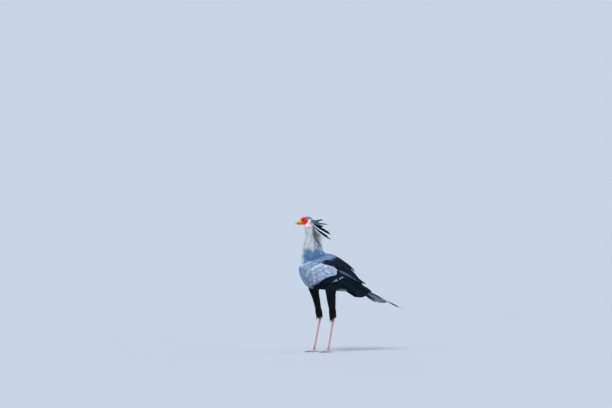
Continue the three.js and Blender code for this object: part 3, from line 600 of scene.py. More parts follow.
def hub_skin(leg):
    z = np.linspace(0, FOOT_TOP + 4, 8)
    half = np.interp(z, [0, 8, FOOT_TOP, FOOT_TOP + 4], [10, 12, 9.5, 8])
    middles = np.array(leg["foot"], float) + columns(z / 8, 0, z)
    return oval_skin(middles, half, half)


def fold_point(x, angle, lift, side):
    """A point of the folded wings' outer shape, by place on x and angle from the back."""
    centre, up, down, half = np.moveaxis(along(FOLD_ROWS, x), -1, 0)
    turn = np.radians(angle)
    reach = np.where(np.cos(turn) > 0, up, down)
    y, z = side * (half + lift) * np.sin(turn), centre + (reach + lift) * np.cos(turn)
    return columns(x, y, z)


def arm_skin(side):
    rings = []
    for x in np.linspace(-240, 150, 40):
        top, bottom, lift, thick = along(ARM_ROWS, x)
        angles, places = np.linspace(top, bottom, 16), np.full(16, x)
        over = fold_point(places, angles, lift, side)
        under = fold_point(places, angles, lift - thick, side)
        rings.append(np.concatenate([over, under[::-1]]))
    return surface_over(rings)


def soft_lump(distance, size):
    return np.exp(-(distance / size) ** 2)


def ripples(points, seed, count=10, finest=2.2, coarsest=7.0):
    """A smooth uneven value at each point, from a few seeded waves."""
    draw = np.random.default_rng(seed)
    total = np.zeros(len(points))
    for _ in range(count):
        waves = points @ unit(draw.normal(size=3)) * 2 * np.pi / draw.uniform(finest, coarsest)
        total += np.sin(waves + draw.uniform(0, 6.3))
    return total / math.sqrt(count)


# Bare face: middle and reach of its disc, and the cheek's edge as height at a place and slope
FACE_DISC = (-36, 1200, 40, 40)
CHEEK_EDGE = (-29, 1162, 0.95)
BROW_PLACE, CHEEK_PLACE, EAR_PLACE = (-37, 1220), (-30, 1187), (6, 1192)


def face_edges(x, z):
    """How far out a place lies on the face's disc and over the cheek's edge."""
    disc = ((x - FACE_DISC[0]) / FACE_DISC[2])**2 + ((z - FACE_DISC[1]) / FACE_DISC[3])**2
    return disc, z - ((x - CHEEK_EDGE[0]) * CHEEK_EDGE[2] + CHEEK_EDGE[1])


def face_share(q):
    """How far a place in the head's frame lies on the bare skin of the face."""
    disc, cheek = face_edges(q[:, 0], q[:, 2])
    return smooth_step(disc, 1.08, 0.92) * smooth_step(cheek, -4, 3)


def shape_face(q, normals):
    """Raises brow, cheek and lips, sinks socket, ear and mouth line and adds the fine folds."""
    x, _, z = q.T
    around_eye = np.hypot(x - EYE_PLACE[0], z - EYE_PLACE[2])
    along_brow = x - BROW_PLACE[0]
    brow = soft_lump(np.hypot(along_brow / 2.4, z - BROW_PLACE[1] + np.abs(along_brow) * 0.1), 6)
    socket = soft_lump(around_eye - 4, 9)
    ring_folds = np.cos((around_eye - 12) * 1.9)
    ring_folds = ring_folds * smooth_step(around_eye, 11, 14) * smooth_step(around_eye, 34, 22)
    off_line = z - (GAPE_PLACE[1] - GAPE_SLOPE * (x - GAPE_PLACE[0]))
    mouth = soft_lump(off_line, 1.3) * smooth_step(x, -34, -42)
    lip = soft_lump(np.abs(off_line) - 3.2, 1.8) * smooth_step(x, -32, -44)
    folds = 0.42 * ring_folds + 0.34 * ripples(q, 5) + 0.3 * ripples(q, 8, finest=7, coarsest=14)
    cheek_pad = soft_lump(np.hypot((x - CHEEK_PLACE[0]) / 1.5, z - CHEEK_PLACE[1]), 9)
    height = 2.8 * brow - 1.6 * socket + 1.2 * cheek_pad + face_share(q) * folds - 1.3 * mouth + 0.7 * lip
    ear = soft_lump(np.hypot(x - EAR_PLACE[0], z - EAR_PLACE[1]), 6)
    return normals * ((height - 2.5 * ear) * smooth_step(x, 40, 20))[:, None]


def wrap_eyes(q):
    """Draws the skin over each eyeball and tucks it under the ball within the lids."""
    x, z = q[:, 0] - EYE_PLACE[0], q[:, 2] - EYE_PLACE[2]
    reach = np.hypot(x, z)
    lid = EYE_RADIUS + LID_DEPTH
    hood = EYE_PLACE[1] + np.sqrt(np.maximum(lid**2 - reach**2, 0))
    out = np.abs(q[:, 1])
    out = np.where(reach < lid, np.maximum(out, hood), out)
    opened = smooth_step(np.hypot(x / EYE_OPEN[0], z / EYE_OPEN[1]), 1.02, 0.9)
    behind = EYE_PLACE[1] + np.sqrt(np.maximum(EYE_RADIUS**2 - reach**2, 0)) - 3
    out = out + (behind - out) * opened
    return columns(q[:, 0], out * np.sign(q[:, 1]), q[:, 2])


def make_skin():
    parts = [trunk_skin(), head_skin(), neck_skin()]
    for leg in LEGS.values():
        parts += [thigh_skin(leg), shank_skin(leg), hub_skin(leg), arm_skin(leg["side"])]
        parts += [toe_skin(leg, toe) for toe in TOES]
    points, faces = joined(parts)
    skin = turn_outwards(make_object("skin", place_in_frame(points), faces))
    finished(skin, [
        ("REMESH", {"mode": "VOXEL", "voxel_size": SKIN_VOXEL}),
        ("SMOOTH", {"factor": 0.5, "iterations": 5}),
    ])
    refine(skin, lambda q, p: (q[:, 2] > HEAD_FOOT) & (q[:, 0] < 30))
    refine(skin, lambda q, p: (q[:, 2] > HEAD_EDGE[0]) & (q[:, 0] < 8))
    refine(skin, lambda q, p: p[:, 2] < FINE_FEET)
    finished(skin, [("SMOOTH", {"factor": 0.5, "iterations": 2})])
    points, normals = points_and_normals(skin)
    q = to_head(points)
    on_head = smooth_step(q[:, 2], HEAD_FOOT, HEAD_FOOT + 10)[:, None]
    turned = to_head(normals + HEAD_PLACE)
    moved = wrap_eyes(q + shape_face(q, turned) * on_head)
    points = np.where(on_head > 0, from_head(moved), points)
    points[:, 2] = np.maximum(points[:, 2], SOLE_HEIGHT)
    skin.data.vertices.foreach_set("co", place_in_frame(points).ravel())
    skin.data.update()
    smooth_faces(skin.data)
    return skin


def refine(piece, chosen):
    """Splits in two the edges that chosen() picks by places in the head's and the bird's frame."""
    build = bmesh.new()
    build.from_mesh(piece.data)
    points = bird_place(np.array([vertex.co for vertex in build.verts]))
    near = chosen(to_head(points), points)
    edges = [edge for edge in build.edges if near[edge.verts[0].index] and near[edge.verts[1].index]]
    bmesh.ops.subdivide_edges(build, edges=edges, cuts=1, use_grid_fill=True)
    build.to_mesh(piece.data)
    build.free()


def points_and_normals(piece):
    count = len(piece.data.vertices)
    points, normals = np.zeros(count * 3), np.zeros(count * 3)
    piece.data.vertices.foreach_get("co", points)
    piece.data.vertices.foreach_get("normal", normals)
    return bird_place(points.reshape(-1, 3)), normals.reshape(-1, 3)


# Coat: small feathers over the skin, each rooted on it and lying along the body
# Size of a feather's own patch in the baked look
TUFT_PATCH = 0.003
# Feathers on a square metre before the spacing thins them
MOST_FEATHERS = 1e6


def unwrap(piece):
    """An unwrap of the piece's own shape, for the baked look."""
    bpy.context.view_layer.objects.active = piece
    piece.select_set(True)
    bpy.ops.object.mode_set(mode="EDIT")
    bpy.ops.mesh.select_all(action="SELECT")
    bpy.ops.uv.smart_project(angle_limit=math.radians(66), island_margin=0.001)
    bpy.ops.object.mode_set(mode="OBJECT")
    piece.select_set(False)
    piece.data.uv_layers[0].name = "OFBake"


def leg_share(x, z):
    """How far a place lies on the legs rather than the body."""
    return smooth_step(z, THIGH_TOP, THIGH_TOP - 30) * smooth_step(x, 60, 40)


def lie_at(points, normals):
    """Which way the coat points at each place: back over the head, down the neck and legs."""
    x, y, z = points.T
    q = to_head(points)
    outward = np.tanh(y / 30) * 0.15
    down = columns(0.12, outward, -1)
    back = columns(1, outward * 0.5, -0.5)

    def blend(first, second, share):
        return first * (1 - share[:, None]) + second * share[:, None]

    trunk = blend(back, down + [0.25, 0, 0], smooth_step(x, -120, -215))
    tilt = np.radians(8 + 76 * smooth_step(q[:, 0], -10, 46) * smooth_step(z, 1240, 1190))
    crown = head_direction(columns(np.cos(tilt), 0.25 * np.tanh(q[:, 1] / 12), -np.sin(tilt)))
    cheek = head_direction([0.7, 0, -0.7])
    head = blend(crown, cheek, smooth_step(z, 1190, 1172))
    lie = blend(trunk, down, smooth_step(z, 850, 905))
    lie = blend(lie, head, smooth_step(z, 1140, 1170))
    lie = blend(lie, down, leg_share(x, z))
    return unit(lie - normals * (lie * normals).sum(-1, keepdims=True))


# Where the wing's own feathers hide the body: place on x, top and bottom angle from the back
HIDDEN_ROWS = [
    (-215, 92, 98), (-190, 72, 110), (-150, 44, 120), (-100, 26, 122), (-30, 12, 120), (40, 12, 124),
    (120, 12, 134), (260, 14, 138), (330, 20, 138),
]
# The body's coat starts at this height
BODY_FOOT = 500


def hidden_by_wing(points):
    """How far each place on the body lies under the folded wing."""
    x, y, z = points.T
    centre, up, down, half = along(FOLD_ROWS, x).T
    rise = (z - centre) / np.where(z > centre, up, down)
    angle = np.degrees(np.arctan2(np.abs(y) / half, rise))
    top, bottom = along(HIDDEN_ROWS, x).T
    inside = smooth_step(angle, top - 3, top + 5) * smooth_step(angle, bottom + 4, bottom - 4)
    return inside * (z > BODY_FOOT) * smooth_step(x, -216, -206)


def regions_of(points):
    """How densely each part of the coat stands on each place of the skin, from 0 to 1."""
    x, _, z = points.T
    q = to_head(points)
    wobble = ripples(q, 9, finest=6, coarsest=18)[:, None] * [1.5, 0, 1.5]
    on_head, on_neck = smooth_step(z, *HEAD_EDGE), smooth_step(z, *NECK_EDGE)
    on_leg = smooth_step(z, THIGH_TOP, THIGH_TOP - 20) * smooth_step(x, 50, 40)
    in_front, behind = smooth_step(x, -110, -140), smooth_step(x, 30, 50)
    body = (z < CAPE_EDGE) * (1 - on_leg) * (z > BODY_FOOT)
    seen = 1 - hidden_by_wing(points)
    return {
        "head": on_head * (face_share(q + wobble) < 0.5) * (q[:, 0] > -42),
        "neck": on_neck * (1 - on_head),
        "cape": smooth_step(z, CAPE_EDGE - 14, CAPE_EDGE) * (1 - on_neck) * smooth_step(x, 40, -10),
        "breast": body * in_front * seen,
        "belly": body * (1 - in_front) * (1 - behind) * seen,
        "rump": (z > BODY_FOOT) * behind * seen,
        "thighs": on_leg * smooth_step(z, 352, 362),
    }


def reach_at(points):
    """How long the small feathers are at each place, in millimetres."""
    x, _, z = points.T
    q = to_head(points)
    head = 5.5 + 5 * smooth_step(q[:, 0], -40, 40) + 2 * smooth_step(z, 1190, 1160)
    neck = 18 + 13 * smooth_step(z, 1100, 960)
    neck = head + (neck - head) * smooth_step(z, 1175, 1110)
    trunk = 28 + 8 * smooth_step(x, -200, 100)
    reach = neck + (CAPE_REACH - neck) * smooth_step(z, 970, 900)
    reach = reach + (trunk - reach) * smooth_step(z, CAPE_EDGE + 6, CAPE_EDGE - 26)
    leg = 26 - 6 * smooth_step(z, 560, 360)
    return reach + (leg - reach) * leg_share(x, z)


def mark_skin(skin):
    """Stores on the skin what the coat needs: lie, reach and regions."""
    points, normals = points_and_normals(skin)
    store(skin.data, "lie", "FLOAT_VECTOR", lie_at(points, normals))
    store(skin.data, "reach", "FLOAT", reach_at(points) * MM)
    for name, share in regions_of(points).items():
        store(skin.data, "on_" + name, "FLOAT", share)


def store(mesh, name, kind, values, domain="POINT"):
    attribute = mesh.attributes.new(name, kind, domain)
    key = "vector" if kind == "FLOAT_VECTOR" else "value"
    attribute.data.foreach_set(key, np.asarray(values, np.float32).ravel())


def read(mesh, name):
    """A stored vector attribute."""
    data = mesh.attributes[name].data
    values = np.zeros(len(data) * 3, np.float32)
    data.foreach_get("vector", values)
    return values.reshape(-1, 3)


# Small feather of unit length: share of its length, half width, rise off its chord
PLUMELET_ROWS = [(0, 0.14, 0), (0.36, 0.46, 0.04), (0.72, 0.42, 0.03), (1, 0.04, -0.02)]
WISP_ROWS = [(0, 0.2, 0), (0.35, 0.5, 0.07), (0.72, 0.36, 0.06), (1, 0.06, -0.01)]
# Rise of its shaft, and how much each kind of a set bends
SMALL_SHAFT, SMALL_BENDS = 0.018, (-0.08, -0.02, 0.03, 0.09)


def small_feather(name, rows, bend):
    """A vane with a raised shaft and flat underside, bent a little to one side."""
    points, faces, vane = [], [], []
    for share, half, rise in rows:
        for across in (-1, 0, 1):
            drop = SMALL_SHAFT if across == 0 else -0.35 * half * half
            points.append((share, bend * share**2 + across * half, rise + drop))
            vane.append((share, across, 0))
    end = 3 * len(rows) - 3
    for k in range(0, end, 3):
        for a, b in ((0, 1), (1, 2), (2, 0)):
            faces.append((k + a, k + 3 + a, k + 3 + b, k + b))
    faces += [(0, 1, 2), (end + 2, end + 1, end)]
    feather = turn_outwards(make_object(name, points, faces))
    store(feather.data, "vane", "FLOAT_VECTOR", vane)
    return feather


def feather_set(name, rows):
    """Alike feathers that bend differently, kept together for the coat to pick from."""
    group = bpy.data.collections.new(name)
    for k, bend in enumerate(SMALL_BENDS):
        feather = small_feather(f"{name}_{k}", rows, bend)
        group.objects.link(feather)
        bpy.context.scene.collection.objects.unlink(feather)
    return group


class Tree(Graph):
    """A Geometry Nodes tree with named inputs."""

    def __init__(self, name, **inputs):
        super().__init__(bpy.data.node_groups.new(name, "GeometryNodeTree"))
        face = self.tree.interface
        for way in ("INPUT", "OUTPUT"):
            face.new_socket("Geometry", in_out=way, socket_type="NodeSocketGeometry")
        for key, kind in inputs.items():
            face.new_socket(key, in_out="INPUT", socket_type="NodeSocket" + kind)
        self.entry = self.tree.nodes.new("NodeGroupInput")

    def given(self, name):
        return Wire(self, self.entry.outputs[name])

    def named(self, name, kind):
        return self.node("GeometryNodeInputNamedAttribute", {"Name": name}, data_type=kind)

    def stored(self, points, name, value, kind):
        return self.node("GeometryNodeStoreNamedAttribute", {
            "Geometry": points, "Name": name, "Value": value}, data_type=kind, domain="POINT")

    def random(self, low, high, seed):
        return self.node("FunctionNodeRandomValue", {2: low, 3: high, "Seed": seed}, out=1,
                         data_type="FLOAT")

    def close(self, geometry):
        self.feed(self.tree.nodes.new("NodeGroupOutput").inputs[0], geometry)
        return self.tree


def coat_tree():
    """Feathers picked from a set, spread over a surface, each laid along its lie."""
    tree = Tree("coat", Feathers="Collection", Region="String", Spacing="Float", Seed="Int",
                Width="Float", Pitch="Float", Unrest="Float", Finish="Material")
    seed, unrest = tree.given("Seed"), tree.given("Unrest")
    spread = tree.node("GeometryNodeDistributePointsOnFaces", {
        "Mesh": tree.given("Geometry"), "Distance Min": tree.given("Spacing"),
        "Density Max": MOST_FEATHERS, "Density Factor": tree.named(tree.given("Region"), "FLOAT"),
        "Seed": seed}, distribute_method="POISSON")
    rooted = tree.stored(spread, "root", tree.node("GeometryNodeInputPosition"), "FLOAT_VECTOR")
    rooted = tree.stored(rooted, "chance", tree.random(0.0, 1.0, seed), "FLOAT")
    laid = tree.node("FunctionNodeAlignRotationToVector", {"Vector": spread.beside("Normal")}, axis="Z")
    laid = tree.node("FunctionNodeAlignRotationToVector", {
        "Rotation": laid, "Vector": tree.named("lie", "FLOAT_VECTOR")}, axis="X", pivot_axis="Z")
    turn = tree.node("ShaderNodeCombineXYZ", (
        tree.random(-1.0, 1.0, 11) * unrest,
        tree.random(-0.5, 0.5, 12) * unrest - tree.given("Pitch"),
        tree.random(-1.0, 1.0, 13) * unrest))
    laid = tree.node("FunctionNodeRotateRotation", {
        "Rotation": laid, "Rotate By": tree.node("FunctionNodeEulerToRotation", (turn,))},
        rotation_space="LOCAL")
    length = tree.named("reach", "FLOAT") * tree.random(0.82, 1.15, 14)
    size = tree.node("ShaderNodeCombineXYZ", (length, length * tree.given("Width"), length))
    feathers = tree.node("GeometryNodeCollectionInfo", {
        "Collection": tree.given("Feathers"), "Separate Children": True, "Reset Children": True})
    last = len(SMALL_BENDS) - 1
    pick = tree.node("FunctionNodeRandomValue", {4: 0, 5: last, "Seed": 15}, out=2, data_type="INT")
    grown = tree.node("GeometryNodeInstanceOnPoints", {
        "Points": rooted, "Instance": feathers, "Pick Instance": True, "Instance Index": pick,
        "Rotation": laid, "Scale": size})
    real = tree.node("GeometryNodeRealizeInstances", (grown,))
    return tree.close(tree.node("GeometryNodeSetMaterial", {
        "Geometry": real, "Material": tree.given("Finish")}))


def grow_coat(name, skin, tree, **values):
    """One coat piece as plain mesh, with each feather's patch of the baked look."""
    piece = bpy.data.objects.new(name, skin.data.copy())
    bpy.context.scene.collection.objects.link(piece)
    modifier = piece.modifiers.new("coat", "NODES")
    modifier.node_group = tree
    for item in tree.interface.items_tree:
        if item.in_out == "INPUT" and item.name in values:
            modifier[item.identifier] = values[item.name]
    mesh = finished(piece).data
    lay_patches(mesh)
    for spent in [layer.name for layer in mesh.attributes if layer.name.startswith("on_")]:
        mesh.attributes.remove(mesh.attributes[spent])
    smooth_faces(mesh)
    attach(piece, "root")


def lay_patches(mesh):
    """Moves every corner to its root's place on the unwrap, plus its share of a small patch."""
    root, vane = read(mesh, "patch")[:, :2], read(mesh, "vane")
    local = columns(vane[:, 0] - 0.5, vane[:, 1] * 0.5) * TUFT_PATCH
    lay_corners(mesh, np.clip(root + local, 0, 1))


def lay_corners(mesh, places):
    """Gives every corner the place of its point in the baked look."""
    corners = np.zeros(len(mesh.loops), np.int32)
    mesh.loops.foreach_get("vertex_index", corners)
    layer = mesh.uv_layers.get("OFBake") or mesh.uv_layers.new(name="OFBake")
    layer.data.foreach_set("uv", places[corners].astype(np.float32).ravel())


# First seed of every group of long feathers
SEEDS = {"wing": 1000, "flank": 1600, "tail": 300, "tail coverts": 340, "crest": 400,
         "hackles": 600, "hems": 700, "lash places": 880, "lashes": 900}

# Quills: long feathers, each a closed vane with a raised shaft and splits between its barbs
ACROSS = np.array([-1, -0.7, -0.35, 0, 0.35, 0.7, 1])
UNDER = ACROSS[-2:0:-1]
SPLIT_REACH = (0.5, 0.55)
QUILL_SHAPES = {
    "flight": ((0, 0.25), (0.2, 0.7), (0.45, 0.95), (0.7, 1), (0.86, 0.86), (0.95, 0.56), (1, 0.06)),
    "covert": ((0, 0.3), (0.4, 0.92), (0.68, 1), (0.86, 0.86), (0.95, 0.56), (1, 0.1)),
    "tail": ((0, 0.25), (0.4, 0.75), (0.72, 1), (0.9, 0.9), (0.97, 0.6), (1, 0.1)),
    "streamer": ((0, 0.35), (0.3, 1), (0.5, 0.9), (0.72, 0.66), (0.86, 0.62), (0.94, 0.4), (1, 0.1)),
    "crest": ((0, 0.2), (0.2, 0.5), (0.4, 0.75), (0.6, 0.95), (0.8, 1), (0.94, 0.74), (1, 0.12)),
    "hackle": ((0, 0.12), (0.3, 0.75), (0.6, 1), (0.85, 0.6), (1, 0.05)),
}


class Quills:
    """Gathers long feathers, then makes them one piece."""

    def __init__(self, flip=1):
        self.rows, self.faces, self.start, self.flip = [], [], 0, flip

    def add(self, path, face, half, shape, seed, mark, splits=2, thick=0.5, camber=0.12,
            shaft=0.9, steps=12):
        """One feather along path(t), whose upper side looks towards face(t, ahead)."""
        draw = np.random.default_rng(seed)
        t = np.linspace(0, 1, steps + 1)
        cuts = draw.uniform(0.3, 0.95, splits)
        t = np.unique(np.concatenate([t, cuts - 0.012, cuts, cuts + 0.012]).clip(0, 1))
        middle = path(t)
        ahead = unit(path(np.minimum(t + 0.01, 1)) - path(np.maximum(t - 0.01, 0)))
        side = unit(np.cross(ahead, face(t, ahead)))
        up = np.cross(side, ahead)
        wide = np.maximum(along(QUILL_SHAPES[shape], t)[:, 0], 0.02) * half
        wide = (wide * (1 + 0.05 * draw.normal(size=len(t)) * (t > 0.1)))[:, None]
        reach = np.ones((len(t), len(ACROSS)))
        for cut in cuts:
            at = int(np.argmin(np.abs(t - cut)))
            reach[at, [0, 1] if draw.random() < 0.5 else [-1, -2]] = SPLIT_REACH
        across = ACROSS * reach
        rise = -camber * across**2 * wide + shaft * (1 - 0.8 * t)[:, None] * (ACROSS == 0)
        over = middle[:, None] + side[:, None] * (across * wide)[..., None] + up[:, None] * rise[..., None]
        under = slice(-2, 0, -1)
        sink = thick * (1 - UNDER**2) * (1 - 0.6 * t)[:, None] + rise[:, under] * (UNDER == 0)
        below = over[:, under] - up[:, None] * sink[..., None]
        points, faces = surface_over(np.concatenate([over, below], 1))
        a, b, c = (points[[corners[k] for corners in faces]] for k in range(3))
        if np.einsum("ij,ij->", a, np.cross(b, c)) < 0:
            faces = [corners[::-1] for corners in faces]
        self.faces += [tuple(index + self.start for index in corners) for corners in faces]
        self.start += len(points)
        self.rows.append((
            points, self.vane(t, np.linalg.norm(np.diff(middle, axis=0), axis=-1).sum() * MM),
            np.broadcast_to(middle[0], points.shape), np.full(len(points), draw.random()),
            np.full(len(points), float(mark)), np.full(len(points), len(self.rows))))

    def vane(self, t, length):
        """Each point's share along and across its feather, and the feather's length."""
        ring = np.concatenate([ACROSS, UNDER]) * self.flip
        along_it, across_it = np.repeat(t, len(ring)), np.tile(ring, len(t))
        vane = columns(along_it, across_it, np.full(len(along_it), length))
        return np.concatenate([vane, [(0, 0, length), (1, 0, length)]])

    def piece(self, name, finish, slot, *nodes):
        """The feathers as one object; each has its own strip of the baked look."""
        points, vane, root, chance, mark, strip = map(np.concatenate, zip(*self.rows))
        made = make_object(name, place_in_frame(points), self.faces, finish)
        store(made.data, "vane", "FLOAT_VECTOR", vane)
        store(made.data, "root", "FLOAT_VECTOR", place_in_frame(root))
        store(made.data, "chance", "FLOAT", chance)
        store(made.data, "mark", "FLOAT", mark)
        u = (strip + 0.5 + vane[:, 1] * 0.42) / len(self.rows)
        lay_corners(made.data, columns(u, 0.01 + 0.98 * vane[:, 0]))
        claim(made, slot, *nodes)


def facing(direction):
    """The face of a feather that looks one way all along."""
    return lambda t, ahead: np.broadcast_to(direction, ahead.shape)


def on_line(line, share):
    """A place along a line of (place on x, angle) points, at a share of its length."""
    step = share * (len(line) - 1)
    k = min(int(step), len(line) - 2)
    first, second = np.array(line[k], float), np.array(line[k + 1], float)
    return first + (second - first) * (step - k)


def turned_about(vectors, axes, angle):
    c, s = math.cos(angle), math.sin(angle)
    dots = (axes * vectors).sum(-1, keepdims=True)
    return vectors * c + np.cross(axes, vectors) * s + axes * dots * (1 - c)


# Tiers of the folded wing, lowest first: count, roots and tips as lines of (place on x, angle
# from the back), half width, lift over the fold at root and tip (with the power of its rise
# where that isn't RISE_POWER), shape, roll and marking
RISE_POWER = 0.5
BLACK_QUILL, PAINTED_SHEEN_QUILL, BROWN_QUILL, PALE_COVERT, SLATE_COVERT, WHITE_COVERT = range(6)
WING_TIERS = {
    "inner primaries": (7, ((60, 90), (20, 122)), ((366, 98), (312, 134), (232, 146)),
                        19, (-18, -12), "flight", 6, BLACK_QUILL),
    "primaries": (10, ((30, 94), (4, 122)), ((390, 96), (352, 138), (294, 152), (228, 150)),
                  17, (-15, -6), "flight", 15, BLACK_QUILL),
    "under coverts": (16, ((-164, 116), (20, 112)), ((-92, 134), (92, 134)),
                      9, (-12, -2), "covert", -10, BLACK_QUILL),
    "side coverts": (13, ((-118, 109), (-34, 93), (34, 80)), ((-44, 124), (40, 116), (112, 98)),
                     10, (-12, -3), "covert", -8, BLACK_QUILL),
    "upper secondaries": (8, ((20, 10), (16, 56)), ((352, 8), (334, 40)),
                          18, (-34, 6, 2), "flight", 13, BLACK_QUILL),
    "lower secondaries": (6, ((4, 56), (0, 78)), ((322, 46), (264, 81)),
                          17, (-12, -2), "flight", 14, PAINTED_SHEEN_QUILL),
    "tertials": (12, ((-6, 4), (-30, 24), (-84, 60)), ((236, -4), (230, 14), (212, 36), (150, 60)),
                 18, (-12, 7), "flight", 12, BROWN_QUILL),
    "greater coverts": (18, ((-62, 78), (-214, 102)),
                        ((26, 81), (14, 95), (-36, 101), (-86, 111), (-128, 122), (-168, 134)),
                        12, (-11, 5), "covert", 12, PALE_COVERT),
    "inner coverts": (4, ((-92, 66), (-72, 74)), ((-10, 72), (26, 79)),
                      10, (-11, 2), "covert", 12, PALE_COVERT),
    "wedge quills": (4, ((-124, 53), (-118, 59)), ((96, 54), (66, 68)),
                     11, (-6, 10), "flight", 8, BROWN_QUILL),
    "median coverts": (17, ((-92, 72), (-226, 96)),
                       ((-18, 79), (-34, 91), (-84, 100), (-134, 111), (-186, 122)),
                       11, (-9, 6), "covert", 12, PALE_COVERT),
    "lesser coverts": (17, ((-116, 67), (-236, 88)), ((-58, 73), (-138, 90), (-206, 106)),
                       9.5, (-8, 7), "covert", 12, PALE_COVERT),
    "least coverts": (17, ((-146, 62), (-242, 82)), ((-96, 68), (-160, 80), (-216, 94)),
                      8, (-6, 8), "covert", 12, PALE_COVERT),
    "long scapulars": (14, ((-64, 6), (-170, 50)), ((50, 2), (38, 26), (-16, 40), (-100, 52)),
                       12, (-12, 4), "covert", -8, SLATE_COVERT),
    "mid scapulars": (13, ((-92, 6), (-188, 50)), ((22, 3), (-6, 28), (-58, 42), (-120, 54)),
                      11.5, (-11, 5), "covert", -8, SLATE_COVERT),
    "short scapulars": (13, ((-124, 6), (-206, 50)), ((-14, 4), (-50, 30), (-100, 43), (-140, 54)),
                        11, (-10, 6), "covert", -8, SLATE_COVERT),
}
FLIGHT_TIERS = ("inner primaries", "primaries", "upper secondaries", "lower secondaries", "tertials",
                "under coverts", "side coverts", "wedge quills")
# How many of the lowest secondaries carry the painted sheen on their lower web
PAINTED_SHEEN_COUNT = 2
SCAPULAR_SCATTER = (14, 2, 1.6)
FEATHER_SCATTER = (7, 1.3, 1.3)
# White feathers in a line over the flank: places on x with angles, and how far each reaches
FLANK_LINES = (((-18, 119.5), (4, 114)), ((36, 107), (62, 101)))
FLANK_COUNT = 5
FLANK_REACH = 30


def draped(side, roots, tips, share, lift, roll, swing):
    """Path and face of a feather laid along the fold, a little bent."""
    root, tip = on_line(roots, share), on_line(tips, share)
    tip = tip + swing[:2]
    power = lift[2] if len(lift) > 2 else RISE_POWER

    def place(t):
        bow = swing[2] * np.sin(np.pi * t)
        return root[0] + (tip[0] - root[0]) * t, root[1] + (tip[1] - root[1]) * t + bow

    def path(t):
        x, angle = place(t)
        return fold_point(x, angle, lift[0] + (lift[1] - lift[0]) * t**power, side)

    def face(t, ahead):
        x, angle = place(t)
        on_x = fold_point(x + 0.5, angle, 0, side) - fold_point(x - 0.5, angle, 0, side)
        around = fold_point(x, angle + 0.5, 0, side) - fold_point(x, angle - 0.5, 0, side)
        outward = unit(np.cross(on_x, around) * side)
        return turned_about(outward, ahead, side * math.radians(roll))

    return path, face


def make_wing(name, side):
    flight, coverts = Quills(-side), Quills(-side)
    right = side > 0
    for row, (tier, values) in enumerate(WING_TIERS.items()):
        count, roots, tips, half, lift, shape, roll, mark = values
        group = flight if tier in FLIGHT_TIERS else coverts
        scatter = SCAPULAR_SCATTER if mark == SLATE_COVERT else FEATHER_SCATTER
        for k in range(count):
            seed = SEEDS["wing"] + row * 50 + k + 500 * right
            swing = np.random.default_rng(seed).uniform(-1, 1, 3) * scatter
            path, face = draped(side, roots, tips, k / (count - 1), lift, roll, swing)
            plain = mark == PAINTED_SHEEN_QUILL and k < count - PAINTED_SHEEN_COUNT
            group.add(path, face, half, shape, seed, BLACK_QUILL if plain else mark,
                      steps=18 if shape == "flight" else 12, splits=3)
    for k in range(FLANK_COUNT * len(FLANK_LINES)):
        seed = SEEDS["flank"] + k + 50 * right
        stray = np.random.default_rng(seed).uniform(-1, 1, 4) * (4, 2, 6, 4)
        start = on_line(FLANK_LINES[k // FLANK_COUNT], k % FLANK_COUNT / (FLANK_COUNT - 1)) + stray[:2]
        tips = (start + [FLANK_REACH + stray[2], stray[3] - 5],) * 2
        path, face = draped(side, (start, start), tips, 0, (-8, 0), 6, (0, 0, 1.5))
        coverts.add(path, face, 2.6, "hackle", seed, WHITE_COVERT, steps=7, splits=1)
    flight.piece("flight_feathers_" + name, quill_finish(), "quills_black", "wing_" + name)
    coverts.piece("wing_coverts_" + name, covert_finish(), "plumage_grey")


# Tail: the ridge runs straight down and back; ranks count outwards from the middle pair
TAIL_START, TAIL_RIDGE, TAIL_SLOPE = 262, 594, 0.4335
TAIL_OPEN, TAIL_PINCH = 450, 0.32
# Sag of the whole tail behind one place, and droop of its tips behind another
TAIL_SAG, SAG_START, TAIL_DROOP, DROOP_START = 9, 430, 16, 560
TAIL_TIPS = (726, 560, 552, 540, 520, 480)
STREAMER, DARK_TAIL, GREY_TAIL, BANDED_TAIL = 6, 7, 8, 9
TAIL_MARKS = (STREAMER, DARK_TAIL, GREY_TAIL, GREY_TAIL, GREY_TAIL, BANDED_TAIL)


def tail_ridge(x):
    return TAIL_RIDGE - TAIL_SLOPE * (x - TAIL_START)


def make_tail():
    tail, longest = Quills(), TAIL_TIPS[0]
    for rank, end in enumerate(TAIL_TIPS):
        for other, side in enumerate((-1, 1)):
            out = side * (3.5 + 7.5 * rank)
            down = 3.2 * (rank + 0.5 * other) + 1.3 * rank**2
            tip = end - 14 * other + (3 if rank % 2 else -3)

            def path(t):
                x = TAIL_START + (tip - TAIL_START) * t
                opened = TAIL_PINCH + (1 - TAIL_PINCH) * smooth_step(x, TAIL_START, TAIL_OPEN)
                droop = TAIL_DROOP * smooth_step(x, DROOP_START, longest)
                sagging = np.clip((x - SAG_START) / (longest - SAG_START), 0, 1)
                droop = droop + TAIL_SAG * np.sin(np.pi * sagging)
                return columns(x, out * opened, tail_ridge(x) - 3 - down * opened - droop)

            lean = math.radians(14 + 9 * rank if rank else 42)
            up = unit(np.array([TAIL_SLOPE, side * math.sin(lean), math.cos(lean)]))
            tail.add(path, facing(up), 13 if rank else 11, "tail" if rank else "streamer",
                     SEEDS["tail"] + rank * 2 + other, TAIL_MARKS[rank], steps=16 if rank else 26)
    add_tail_coverts(tail)
    tail.piece("tail_feathers", tail_finish(), "quills_grey", "tail")


